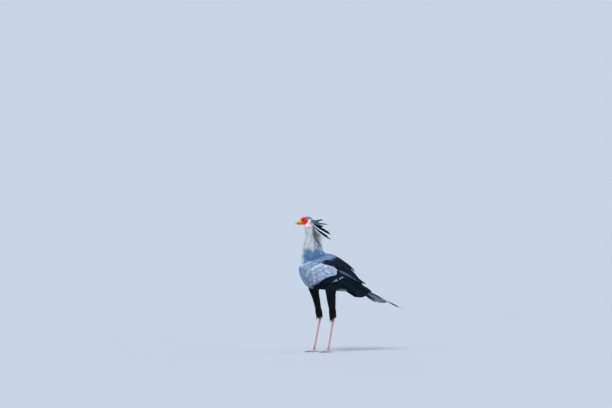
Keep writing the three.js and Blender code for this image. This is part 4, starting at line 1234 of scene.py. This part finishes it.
def add_tail_coverts(tail, rows=3, count=14):
    """Short feathers over and under the root of the tail."""
    for row in range(rows):
        for k in range(count):
            seed = SEEDS["tail coverts"] + row * count + k
            turn = 2 * math.pi * (k + 0.5 * row) / count
            start = 226 + 26 * row
            reach = 84 + np.random.default_rng(seed).uniform(-12, 12)

            def path(t):
                x = start + reach * t
                across = (25 - 6 * t - 3 * row) * math.sin(turn)
                return columns(x, across, tail_ridge(x) - 12 + (15 - 5 * t) * math.cos(turn))

            up = unit(np.array([TAIL_SLOPE, 0.8 * math.sin(turn), math.cos(turn)]))
            tail.add(path, facing(up), 8, "covert", seed, PALE_COVERT, steps=8, splits=1)


# Crest ranks in the head's frame: root and tip as (place on x, height), spread of the tips to
# the side, number of feathers, half width and marking
GREY_PLUME, BLACK_PLUME = 10, 11
CREST_BURIED = 9
CREST_RANKS = (
    ((38, 1211), (148, 1208), 26, 5, 8, GREY_PLUME), ((45, 1196), (182, 1168), 30, 5, 8.5, GREY_PLUME),
    ((47, 1188), (146, 1148), 22, 4, 12, BLACK_PLUME), ((49, 1182), (176, 1106), 14, 4, 12.5, BLACK_PLUME),
    ((50, 1177), (210, 1084), 9, 3, 10, BLACK_PLUME), ((52, 1158), (202, 1044), 12, 4, 11, BLACK_PLUME),
    ((38, 1206), (104, 1194), 18, 6, 6, GREY_PLUME), ((44, 1194), (116, 1164), 18, 6, 7, GREY_PLUME),
    ((47, 1186), (124, 1136), 16, 5, 8, BLACK_PLUME),
)


def make_crest():
    crest = Quills()
    for row, (root, tip, spread, count, half, mark) in enumerate(CREST_RANKS):
        for k in range(count):
            seed = SEEDS["crest"] + row * 10 + k
            draw = np.random.default_rng(seed)
            share = 2 * k / (count - 1) - 1
            start = np.array([root[0], 7 * share, root[1]])
            end = np.array([tip[0], spread * share, tip[1]]) - start
            end = end * (1 + 0.1 * draw.uniform(-1, 1) - 0.06 * abs(share)) + [0, 0, draw.uniform(-5, 5)]
            start = start - unit(end) * CREST_BURIED
            bow = draw.uniform(5, 13)

            def path(t):
                line = start + (end + unit(end) * CREST_BURIED) * t[:, None]
                line[:, 2] -= bow * np.sin(np.pi * t)
                return from_head(line)

            up = head_direction(unit(np.array([0.25, share * 0.9 + 0.35, 1.0])))
            crest.add(path, facing(up), half, "crest", seed, mark, splits=3, steps=14, thick=0.4)
    crest.piece("crest_feathers", plume_finish(), "quills_black")


# Rows of nape feathers, and how far down the neck they go
HACKLE_ROWS, HACKLE_TOP, HACKLE_DROP = 18, 1146, 172
HACKLE_COLUMNS = (np.arange(-3, 3.1, 1.0), np.arange(-3.5, 3.6, 1.0))


def make_hackles():
    """Loose feathers down the nape, in rows that get shorter and steeper."""
    hackles = Quills()
    for row in range(HACKLE_ROWS):
        share = row / (HACKLE_ROWS - 1)
        height = HACKLE_TOP - HACKLE_DROP * share
        x, depth, half = along(NECK_ROWS, float(height))
        for column in HACKLE_COLUMNS[row % 2]:
            seed = int(SEEDS["hackles"] + row * 8 + column * 2)
            draw = np.random.default_rng(seed)
            turn = math.radians(column * 21 + draw.uniform(-7, 7))
            pitch = math.radians(31 + 14 * share + draw.uniform(-13, 11) + 5 * abs(column))
            out = np.array([math.cos(turn), math.sin(turn), 0])
            heading = out * math.cos(pitch) - np.array([0, 0, math.sin(pitch)])
            root = np.array([x + (depth - 8) * out[0], (half - 8) * out[1], height])
            reach = 62 + 80 * (1 - share)**1.4
            reach *= 1 - 0.5 * abs(math.sin(turn)) + draw.uniform(-0.15, 0.1)
            breadth = draw.uniform(2.6, 5) * (1 - 0.45 * abs(math.sin(turn)))

            def path(t):
                line = root + heading * reach * t[:, None]
                line[:, 2] += (9 * np.sin(np.pi * t) - 12 * t**2)
                return line

            up = out * math.sin(pitch) + np.array([0, 0, math.cos(pitch)])
            black = draw.random() < 0.55 - 0.08 * abs(column) + 0.2 * share
            hackles.add(path, facing(up), breadth, "hackle", seed, BLACK_PLUME if black else GREY_PLUME,
                        splits=1, steps=8, thick=0.35, shaft=0.5)
    hackles.piece("nape_hackles", plume_finish(), "quills_grey")


THIGH_PLUME = 12
# Hem of the thighs: heights of its rows' roots, feathers in a row, and the height at which its
# tips close round the leg
HEM_ROOTS, HEM_COLUMNS, HEM_LOW = (408, 389, 370, 353), 16, 340.0
# Height that its sides reach, and how much lower its front and back reach
HEM_SIDE = 330
HEM_FRONT = {"left": 56, "right": 36}
HEM_BACK = 26


def make_hems():
    """Feathers that hang round the lower end of each thigh, longest in front."""
    for name, leg in LEGS.items():
        hem = Quills()
        for row, root in enumerate(HEM_ROOTS):
            for k in range(HEM_COLUMNS):
                seed = SEEDS["hems"] + row * 20 + k + 100 * (name == "right")
                turn = 2 * math.pi * (k + 0.5 * row) / HEM_COLUMNS
                out = np.array([-math.cos(turn), math.sin(turn), 0])
                middle, length, half = thigh_middle(leg, float(root))
                low, low_length, low_half = thigh_middle(leg, HEM_LOW)
                front = (1 + math.cos(turn)) / 2
                end = HEM_SIDE - HEM_FRONT[name] * front**1.5 - HEM_BACK * (1 - front)**3
                end += (3 - row) * 11 - 7 * front + np.random.default_rng(seed).uniform(-6, 6)
                draws = 0.98 + 0.24 * front
                start = np.append((middle + out * [length - 5, half - 5, 0])[:2], root)
                tip = np.append((low + out * [low_length * draws, low_half * draws, 0])[:2], end)

                def path(t):
                    bow = 4 * np.sin(np.pi * np.minimum(1, 0.15 + t))
                    return start + (tip - start) * t[:, None] + out * bow[:, None]

                def face(t, ahead):
                    return turned_about(np.broadcast_to(out, ahead.shape), ahead, 0.28)

                hem.add(path, face, 4.8, "hackle", seed, THIGH_PLUME, splits=1, steps=7, thick=0.4,
                        shaft=0.5)
        hem.piece("thigh_hem_" + name, quill_finish(), "plumage_black")


class VaneFinish(Finish):
    """A feather's material, with its places along and across the vane and its own chance."""

    def __init__(self, name, roughness=0.72, specular=0.1):
        super().__init__(name, {"Roughness": roughness, "Specular IOR Level": specular})
        self.share, self.across, _ = self.axes(self.attribute("vane", 1))
        self.out, self.chance = self.across.size(), self.attribute("chance")

    def marked(self, lowest):
        """1 for feathers whose marking is this one or a later one, and 0 for the others."""
        return self.step(self.attribute("mark"), lowest - 0.6, lowest - 0.4)

    def told(self, colour, barb_step, depth, shaft_tone=0.25):
        """The tone of each feather, its shaft and its slanting barbs."""
        shaft = self.step(self.out, 0.16, 0.04)
        tone = 0.78 + self.chance * 0.36 + shaft * shaft_tone + self.share * 0.1
        self.set("Base Color", self.shade(colour, tone))
        barbs = ((self.share + self.out * 0.12) * barb_step).wave()
        self.bump(barbs * 0.5 + shaft * 2, depth, 0.0006)
        return self.material


@functools.cache
def body_finish():
    finish = VaneFinish("body_plumage")
    return finish.told(plumage_colour(finish, finish.attribute("root", 1)), 60.0, 0.35, 0.06)


@functools.cache
def quill_finish():
    """Black flight feathers with a painted blue sheen, the lowest secondaries with a painted grey sheen on
    their lower web, some with a brown web.
    """
    finish = VaneFinish("black_quills", 0.6, 0.08)
    patchy = finish.noise(finish.object_place(), 30.0, 3.0)
    black = finish.mix(finish.step(patchy, 0.4, 0.7), INK, NIGHT)
    # Painted blue sheen, mixed into some black feathers at random
    black = finish.mix(finish.step(finish.chance, 0.3, 1) * 0.7, black, PAINTED_BLUE_SHEEN)
    # Painted sheen: a grey-blue streak along the lower web of the lowest secondaries
    sheen_share = finish.marked(PAINTED_SHEEN_QUILL) - finish.marked(BROWN_QUILL)
    sheen_share = sheen_share * finish.step(finish.across, 0.25, 0.6) * finish.step(finish.share, 0.1, 0.3)
    painted_sheen = finish.mix(finish.step(finish.share, 0.35, 0.75), PAINTED_SHEEN_GREY, PAINTED_SHEEN_DARK)
    brown = finish.marked(BROWN_QUILL) - finish.marked(PALE_COVERT)
    brown = brown * finish.step(patchy + finish.out * 0.3, 0.55, 0.95)
    colour = finish.mix(brown * 0.8, finish.mix(sheen_share, black, painted_sheen), BROWN_BLACK)
    rim = finish.step(finish.out, 0.84, 0.97).most(finish.step(finish.share, 0.955, 0.99))
    colour = finish.mix(rim * finish.step(finish.chance, 0.1, 0.6) * 0.7, colour, QUILL_RIM)
    sooty = finish.mix(finish.step(patchy, 0.45, 0.75), SOOT, THIGH_BROWN)
    colour = finish.mix(finish.marked(THIGH_PLUME), colour, sooty)
    return finish.told(colour, 420.0, 0.4)


@functools.cache
def covert_finish():
    """Pale lilac-grey, slate and white coverts with pale edges."""
    finish = VaneFinish("wing_coverts")
    where = finish.attribute("root", 1)
    patchy = finish.noise(where, 26.0)
    streaks = finish.streaks(where, (80.0, 80.0, 30.0))
    pale = finish.mix(finish.step(streaks, 0.36, 0.6), COVERT_SHADE, COVERT_LIGHT)
    slate = finish.mix(finish.step(patchy, 0.35, 0.62), SLATE_DARK, SLATE_LIGHT)
    colour = finish.mix(finish.marked(SLATE_COVERT), pale, slate)
    edge = finish.step(finish.out, 0.6, 0.95).most(finish.step(finish.share, 0.84, 0.98))
    colour = finish.mix(edge * 0.35, colour, COVERT_EDGE)
    colour = finish.mix(finish.marked(WHITE_COVERT), colour, FLANK_WHITE)
    return finish.told(colour, 210.0, 0.35)


@functools.cache
def tail_finish():
    """Grey tail feathers with black bands, and long streamers with a dark bit and pale tip."""
    finish = VaneFinish("tail_quills", 0.6, 0.12)
    grey = finish.mix(finish.noise(finish.object_place(), 40.0, 3.0), TAIL_SHADE, TAIL_LIGHT)

    def band(begins, ends):
        begun = finish.step(finish.share, begins - 0.03, begins + 0.03)
        return begun * finish.step(finish.share, ends + 0.03, ends - 0.03)

    streamer = finish.mix(band(0.73, 0.85).most(band(0.27, 0.5)), grey, INK)
    streamer = finish.mix(finish.step(finish.share, 0.86, 0.9).most(band(0.53, 0.66)), streamer, STREAMER_TIP)
    colour = finish.mix(finish.marked(STREAMER), TAIL_COVERT, streamer)
    for mark, inked in ((DARK_TAIL, band(0.36, 0.77)), (GREY_TAIL, band(0.88, 0.95) * 0.6),
                        (BANDED_TAIL, band(0.42, 0.72))):
        colour = finish.mix(finish.marked(mark), colour, finish.mix(inked, grey, INK))
    return finish.told(colour, 420.0, 0.35)


@functools.cache
def plume_finish():
    """Crest and nape plumes: slate grey at the root, black towards the tip."""
    finish = VaneFinish("plumes")
    grey = finish.mix(finish.step(finish.share + finish.chance * 0.3, 0.5, 1.1), PLUME_LIGHT, PLUME_SHADE)
    black = finish.mix(finish.step(finish.share + finish.chance * 0.2, 0.05, 0.3), PLUME_ROOT, INK)
    colour = finish.mix(finish.marked(BLACK_PLUME), grey, black)
    return finish.told(colour, 260.0, 0.35)


# Bill, eyes, lids, claws and leg scales
BILL_UPPER_ROWS = (
    (-109.4, 1163, 1171, 0.8), (-108.4, 1164, 1178.5, 2.4), (-105.6, 1168.5, 1188.5, 4.6),
    (-101, 1172.6, 1198, 7), (-93, 1175.6, 1206.4, 9.9), (-84, 1176.2, 1210.8, 12),
    (-76, 1176.6, 1214, 13.8), (-62, 1178, 1218, 15.6), (-52, 1180, 1219, 13),
)
BILL_LOWER_ROWS = (
    (-98.5, 1169.4, 1171.6, 2.4), (-95, 1168, 1173.6, 5.4), (-90, 1167.4, 1175, 8.2),
    (-78, 1165, 1176, 11.8), (-66, 1164.2, 1177.2, 14), (-54, 1164.6, 1178, 13),
)
BILL_SIDES = 40
NOSTRIL_PLACE = (-75, 1198)


def bill_rings(rows, steps, roof):
    """Rings of one half of the bill, flat where the halves close and round outside."""
    x = np.linspace(rows[0][0], rows[-1][0], steps)
    low, high, half = along(rows, x).T
    turn = full_turn(BILL_SIDES)
    up, out = np.cos(turn), np.sin(turn)
    outer = np.abs(up)**0.8 * np.sign(up)
    rise = np.where(outer > 0, outer, outer * 0.05)
    bulge = (high - low)[:, None] * np.maximum(rise, 0) + rise.clip(-1, 0) * 8
    z = low[:, None] + bulge if roof else high[:, None] - bulge
    y = half[:, None] * out * (1 - 0.22 * np.maximum(up, 0)**2)
    return columns(x[:, None], y, z)


def make_bill():
    for name, rows, roof, node in (("upper_bill", BILL_UPPER_ROWS, True, "bill_upper"),
                                   ("lower_bill", BILL_LOWER_ROWS, False, "bill_lower")):
        rings = bill_rings(rows, 60, roof)
        if roof:
            x, y, z = np.moveaxis(rings, -1, 0)
            hole = np.hypot(x - NOSTRIL_PLACE[0], (z - NOSTRIL_PLACE[1]) * 2.2)
            seam = soft_lump(x + 83 - (z - 1195) * 0.25, 1.4)
            y -= np.sign(y) * (3.2 * soft_lump(hole, 3.6) + 0.35 * seam)
        points, faces = surface_over(rings)
        add_piece(name, from_head(points), faces, bill_finish(), "bill_horn", node)


def ball(middle, radius, rings=24, sides=32):
    turn = np.linspace(0.02, np.pi - 0.02, rings)[:, None]
    around = full_turn(sides)
    shell = columns(np.sin(turn) * np.cos(around), np.cos(turn), np.sin(turn) * np.sin(around))
    return shell * radius + middle


def make_eyes():
    """Dark eyes with a round pupil; lids and a row of lashes frame them."""
    for name, side in (("left", -1), ("right", 1)):
        middle = EYE_PLACE * [1, side, 1]
        shell = ball(middle, EYE_RADIUS - 0.2)
        out = (shell[..., 1] - middle[1]) * side / EYE_RADIUS
        shell[..., 1] += side * 0.7 * smooth_step(out, 0.75, 0.95)
        points, faces = surface_over(shell)
        add_piece("eyeball_" + name, from_head(points), faces, eye_finish(), "eye", "eye_" + name)
        make_lids(name, side)
        make_lashes(name, side)


LASHES = 24


def upright(angle):
    """The direction at an angle in the plane of the eye."""
    return np.array([math.cos(angle), 0, math.sin(angle)])


def make_lids(name, side, steps=96, sides=16):
    """A rim of soft folds round the eye."""
    around = full_turn(sides)
    rings = []
    for angle in full_turn(steps):
        away, rise = upright(angle), math.sin(angle)
        open_x = EYE_OPEN[0] + 0.3 + 0.5 * math.cos(angle)
        open_z = EYE_OPEN[1] + (-0.1 if rise > 0 else 0.3)
        base = EYE_PLACE * [1, 0, 1] + away * [open_x, 0, open_z]
        near = 1 - ((open_x * away[0])**2 + (open_z * away[2])**2) / (EYE_RADIUS + 2.5)**2
        base[1] = side * (EYE_PLACE[1] + (EYE_RADIUS - 0.6) * math.sqrt(max(near, 0.1)))
        folds = (1 + 0.12 * np.cos(3 * around + 0.6 * math.sin(9 * angle))) * (1 + 0.3 * max(rise, 0))
        rings.append(base + np.outer(np.cos(around) * folds, away)
                     + np.outer(np.sin(around) * 0.85 * folds, [0, side, 0]))
    i, j = np.arange(steps)[:, None] * sides, np.arange(sides)
    after, beside = np.roll(i, -1), np.roll(j, -1)
    quads = columns(i + j, i + beside, after + beside, after + j).reshape(-1, 4).tolist()
    add_piece("lids_" + name, from_head(np.concatenate(rings)), quads, lid_finish(), "face_skin")


def make_lashes(name, side):
    """A row of lashes along the upper lid."""
    lashes = Quills()
    draw = np.random.default_rng(SEEDS["lash places"] + side)
    for k in range(LASHES):
        away = upright(math.radians(22 + 136 * k / LASHES + draw.uniform(-3, 3)))
        root = np.array([EYE_PLACE[0] + 9.6 * away[0], side * 27.4, EYE_PLACE[2] + 7.6 * away[2]])
        heading = unit(away * 0.75 + [0.3, side * 0.85, 0.15] + draw.uniform(-0.12, 0.12, 3))
        reach = 7 + 3 * math.sin(math.pi * k / LASHES) + draw.uniform(-1.5, 1.5)

        def path(t):
            line = root + heading * reach * t[:, None]
            line[:, 2] += 2.2 * t**2
            return from_head(line)

        up = head_direction(np.array([0, -0.5 * side, 0.85]))
        lashes.add(path, facing(up), 0.34, "hackle", SEEDS["lashes"] + k, BLACK_PLUME,
                   splits=0, steps=5, thick=0.3, shaft=0.15)
    lashes.piece("lashes_" + name, plume_finish(), "quills_black")


def make_claws():
    for name, leg in LEGS.items():
        for toe, (turn, length, half) in TOES.items():
            heading, across = toe_heading(turn)
            share = np.linspace(-0.25, 1, 18)
            thick = half * np.interp(share, [-0.25, 0, 0.35, 0.7, 1], [0.5, 0.58, 0.5, 0.33, 0.05])
            lift = half * np.interp(share, [-0.25, 0, 0.3, 0.6, 1], [0.6, 0.62, 0.66, 0.5, 0.1]) + 0.5
            middles = np.array(leg["foot"], float) + heading * (length + CLAW_LENGTH * share)[:, None]
            middles[:, 2] = np.maximum(lift, thick + 0.3)
            rings = ovals(middles, np.outer(thick * 0.8, across), np.outer(thick, [0, 0, 1]), 20)
            add_piece(f"nail_{toe}_{name}", *surface_over(rings), claw_finish(), "claw_horn",
                      f"claw_{toe}_{name}")


def plate(centre, ahead, across, outward, long, wide, thick, outline=10):
    """A low domed scale with its lower edge lifted, as closed points and faces."""
    turn = full_turn(outline)
    u, v = (np.sign(edge) * np.abs(edge)**0.6 for edge in (np.cos(turn), np.sin(turn)))
    rings = []
    for grow, rise in ((1, -0.8), (1, 0.35), (0.72, 1), (0.3, 1.15)):
        lift = thick * (rise + 0.35 * u) - 0.16 * wide * (v * grow)**2
        rings.append(centre + np.outer(u * long * grow, ahead) + np.outer(v * wide * grow, across)
                     + np.outer(lift, outward))
    return surface_over(rings)


# Plates round the shank: angle from the front, width, length, thickness and shift down in rows
PLATE_ROWS = 40
SHANK_PLATES = (
    (0, 0.66, 0.56, 0.75, 0), (55, 0.42, 0.5, 0.5, 0.5), (-55, 0.42, 0.5, 0.5, 0.5),
    (100, 0.4, 0.5, 0.4, 0), (-100, 0.4, 0.5, 0.4, 0), (148, 0.44, 0.5, 0.45, 0.5),
    (-148, 0.44, 0.5, 0.45, 0.5),
)


def shank_plates(leg):
    """Broad plates down the front of the shank and smaller ones round its sides and back."""
    plates = []
    for row in range(PLATE_ROWS):
        for turn, wide, long, thick, shift in SHANK_PLATES:
            at = 0.02 + 0.9 * (row + shift) / PLATE_ROWS
            middle, depth, half = shank_middle(leg, np.array([at, at - 0.01]))
            a = math.radians(turn)
            outward = np.array([-math.cos(a), math.sin(a), 0])
            down = unit(middle[1] - middle[0])
            centre = middle[0] + outward * [depth[0], half[0], 0] - outward * 0.25
            plates.append(plate(centre, down, np.cross(outward, down), outward, 8.1 * long,
                                (depth[0] + half[0]) / 2 * wide * 1.02, thick))
    return plates


def toe_plates(leg, toe):
    turn, length, _ = TOES[toe]
    heading, across = toe_heading(turn)
    plates = []
    count = max(4, int(length / 5.2))
    for k in range(count):
        middle, _, size = toe_middle(leg, *TOES[toe], np.array([0.06 + 0.9 * (k + 0.5) / count]))
        top = middle[0] + [0, 0, size[0] * 0.84]
        plates.append(plate(top, heading, across, np.array([0, 0, 1.0]), length / count * 0.56,
                            size[0] * 0.72, 0.6))
    return plates


def make_leg_scales():
    for name, leg in LEGS.items():
        plates = shank_plates(leg)
        for toe in TOES:
            plates += toe_plates(leg, toe)
        add_piece("leg_scales_" + name, *joined(plates), scale_finish(), "leg_scales")


@functools.cache
def bill_finish():
    """Horn: yellow-orange over the base, pale blue-grey to the tip, with fine growth lines."""
    finish = Finish("bill_horn", {"Specular IOR Level": 0.5})
    where = finish.object_place()
    _, _, z, head_x = bird_axes(finish, where)
    mottle = finish.noise(where, 240.0, 3.0)
    base = finish.step(head_x + mottle * 8 - (z - 1190) * 0.12, -95, -84)
    horn = finish.mix(finish.step(head_x, -98, -108), (0.42, 0.5, 0.58), (0.17, 0.23, 0.28))
    cere = finish.mix(finish.step(z, 1176, 1198), (0.45, 0.14, 0.02), (0.6, 0.41, 0.07))
    cere = finish.mix(finish.step(head_x, -80, -64), cere, BILL_ROOT)
    cere = finish.mix(finish.step((z - 1176.8).size(), 2.2, 0.8), cere, (0.14, 0.04, 0.02))
    finish.set("Base Color", finish.mix(base, horn, cere))
    lines = finish.streaks(where, (900.0, 900.0, 120.0), 3.0)
    finish.set("Roughness", 0.3 + lines * 0.2)
    finish.bump(lines, 0.25, 0.0004)
    return finish.material


@functools.cache
def eye_finish():
    """Dark brown iris with a black pupil under a wet cornea."""
    finish = Finish("eye", {"Roughness": 0.12, "Specular IOR Level": 0.1, "Coat Weight": 0.1,
                            "Coat Roughness": 0.03})
    where = finish.object_place()
    _, _, z, head_x = bird_axes(finish, where)
    dx, dz = head_x - float(EYE_PLACE[0]), z - float(EYE_PLACE[2])
    away = (dx * dx + dz * dz) ** 0.5
    iris = finish.mix(finish.noise(where, 1400.0), (0.012, 0.006, 0.003), (0.03, 0.015, 0.005))
    iris = finish.mix(finish.step(away, 6.2, 8.2), iris, (0.004, 0.003, 0.002))
    finish.set("Base Color", finish.mix(finish.step(away, 3.9, 3.3), iris, (0.002, 0.002, 0.002)))
    return finish.material


@functools.cache
def lid_finish():
    finish = Finish("lids", {"Roughness": 0.5, "Specular IOR Level": 0.45})
    mottle = finish.noise(finish.object_place(), 500.0, 3.0)
    finish.set("Base Color", finish.mix(mottle, (0.4, 0.03, 0.01), (0.7, 0.07, 0.012)))
    finish.bump(mottle, 0.4, 0.0006)
    return finish.material


@functools.cache
def claw_finish():
    finish = Finish("claw_horn", {"Roughness": 0.35, "Specular IOR Level": 0.5})
    lines = finish.streaks(finish.object_place(), (200.0, 900.0, 900.0), 3.0)
    finish.set("Base Color", finish.mix(lines, (0.02, 0.016, 0.014), (0.07, 0.055, 0.045)))
    finish.bump(lines, 0.3, 0.0004)
    return finish.material


@functools.cache
def scale_finish():
    """Dry pinkish scales, a little darker and greyer towards the feet."""
    finish = Finish("leg_scales", {"Specular IOR Level": 0.4})
    where = finish.object_place()
    z = bird_axes(finish, where)[2]
    mottle = finish.noise(where, 120.0, 3.0)
    grey = finish.mix(mottle, (0.34, 0.22, 0.22), (0.25, 0.17, 0.17))
    finish.set("Base Color", finish.mix(finish.step(z, 70, 12), leg_colour(finish, mottle, z, SCALE_SHADE),
                                        grey))
    finish.set("Roughness", 0.45 + mottle * 0.25)
    finish.bump(finish.noise(where, 1500.0), 0.2, 0.0004)
    return finish.material


def leg_colour(finish, mottle, z, shade):
    """Mottled pink, warmer above the ankle."""
    pink = finish.mix(finish.step(mottle, 0.35, 0.7), LEG_PINK, shade)
    return finish.mix(finish.step(z, 270, 330), pink, ANKLE_PINK)


def skin_finish():
    finish = Finish("bare_skin_and_down", {"Roughness": 0.62, "Specular IOR Level": 0.12})
    where = finish.object_place()
    _, _, z, head_x = bird_axes(finish, where)
    finish.set("Base Color", finish.mix(bare_share(finish, z, head_x), plumage_colour(finish, where),
                                        bare_colour(finish, where, z, head_x)))
    finish.bump(finish.noise(where, 900.0, 3.0) * 0.5 + finish.noise(where, 330.0), 0.55, 0.0012)
    return finish.material


def bare_share(finish, z, head_x):
    disc, cheek = face_edges(head_x, z)
    face = finish.step(disc, 1.3, 1.14) * finish.step(cheek, -7, -3)
    return face.most(finish.step(z, 352, 336))


def bare_colour(finish, where, z, head_x):
    """Orange face, rosy at its top and back and yellow at the bill, with painted shade in its creases, and
    pink legs.
    """
    mottle = finish.noise(where, 260.0, 3.0)
    crease_shade = finish.streaks(where, (700.0, 700.0, 420.0), 3.0)
    face = FACE_ORANGE
    for rise, slope, spread, low, high, tone in (
            (1190, 0.9, 12, -38, -22, FACE_RED), (1200, 0.55, 10, -17, 3, FACE_ROSE),
            (1195, 0.4, 10, -50, -64, FACE_YELLOW)):
        place = head_x + (z - rise) * slope + mottle * spread
        face = finish.mix(finish.step(place, low, high), face, tone)
    face = finish.mix(finish.step(head_x, -63, -71), face, BILL_ROOT)
    # Painted shade: the face is darker along fine streaks that stand for its creases
    face = finish.shade(face, 0.72 + finish.step(crease_shade, 0.32, 0.5) * 0.3)
    line = head_x * -GAPE_SLOPE + (GAPE_PLACE[1] + GAPE_SLOPE * GAPE_PLACE[0])
    mouth = finish.step((z - line).size(), 2.2, 0.6) * finish.step(head_x, -32, -42)
    face = finish.mix(mouth, face, (0.14, 0.035, 0.015))
    return finish.mix(finish.step(z, 700, 600), face, leg_colour(finish, mottle, z, SHANK_SHADE))


FLOOR_REACH = 700
WORLD_COLOUR, WORLD_STRENGTH = (0.86, 0.92, 1, 1), 0.66
# Lamps: name, strength, spread, azimuth and elevation in degrees
LAMPS = (("key", 2.35, 25, -50, 52), ("fill", 0.8, 60, 60, 30))


def make_stage():
    finish = Finish("pale_floor", {"Roughness": 0.9})
    mottle = finish.noise(finish.object_place(), 0.7)
    finish.set("Base Color", finish.mix(mottle, (0.43, 0.48, 0.55), (0.45, 0.5, 0.57)))
    corners = [(x * FLOOR_REACH, y * FLOOR_REACH, 0) for x, y in ((-1, -1), (1, -1), (1, 1), (-1, 1))]
    make_object("floor", corners, [(0, 1, 2, 3)], finish.material)
    bpy.context.scene.view_settings.view_transform = "Standard"
    world = bpy.data.worlds.new("studio")
    world.use_nodes = True
    sky = world.node_tree.nodes["Background"].inputs
    sky[0].default_value, sky[1].default_value = WORLD_COLOUR, WORLD_STRENGTH
    bpy.context.scene.world = world
    for name, strength, spread, azimuth, elevation in LAMPS:
        lamp = bpy.data.lights.new(name, "SUN")
        lamp.energy, lamp.angle = strength, math.radians(spread)
        set_up(name, lamp, towards(azimuth, elevation))


FLESH = ("head", "neck", "torso", "rump", "thigh_left", "thigh_right", "shank_left", "shank_right",
         "foot_left", "foot_right")
# Coat pieces: name, region, set of feathers, spacing, width, pitch and unrest in degrees
COATS = (
    ("head_feathers", "head", "plumelets", 1.3, 0.4, 8, 12),
    ("head_wisps", "head", "wisps", 2.0, 0.14, 10, 20),
    ("neck_feathers", "neck", "plumelets", 2.5, 0.27, 6, 11),
    ("neck_wisps", "neck", "wisps", 3.4, 0.09, 8, 20),
    ("cape_feathers", "cape", "plumelets", 3.3, 0.3, 7, 10),
    ("cape_wisps", "cape", "wisps", 5.0, 0.08, 9, 18),
    ("breast_feathers", "breast", "plumelets", 3.4, 0.33, 6, 11),
    ("breast_wisps", "breast", "wisps", 5.0, 0.09, 8, 18),
    ("belly_feathers", "belly", "plumelets", 4.4, 0.4, 11, 10),
    ("rump_feathers", "rump", "plumelets", 5.6, 0.46, 7, 10),
    ("thigh_feathers", "thighs", "plumelets", 3.6, 0.44, 8, 10),
)


def make_body():
    skin = make_skin()
    unwrap(skin)
    mark_skin(skin)
    corners = np.zeros(len(skin.data.loops) * 2, np.float32)
    skin.data.uv_layers["OFBake"].data.foreach_get("uv", corners)
    patch = np.pad(corners.reshape(-1, 2), ((0, 0), (0, 1)))
    store(skin.data, "patch", "FLOAT_VECTOR", patch, "CORNER")
    sets = {"plumelets": feather_set("plumelets", PLUMELET_ROWS), "wisps": feather_set("wisps", WISP_ROWS)}
    tree = coat_tree()
    for seed, (name, region, kind, spacing, width, pitch, unrest) in enumerate(COATS):
        grow_coat(name, skin, tree, Finish=body_finish(), Feathers=sets[kind], Region="on_" + region,
                  Spacing=spacing * MM, Seed=seed, Width=float(width),
                  Pitch=math.radians(pitch), Unrest=math.radians(unrest))
    skin.data.materials.append(skin_finish())
    claim(skin, "plumage_grey", *FLESH)


make_camera()
make_stage()
make_body()
make_wing("left", -1)
make_wing("right", 1)
make_tail()
make_crest()
make_hackles()
make_hems()
make_bill()
make_eyes()
make_claws()
make_leg_scales()
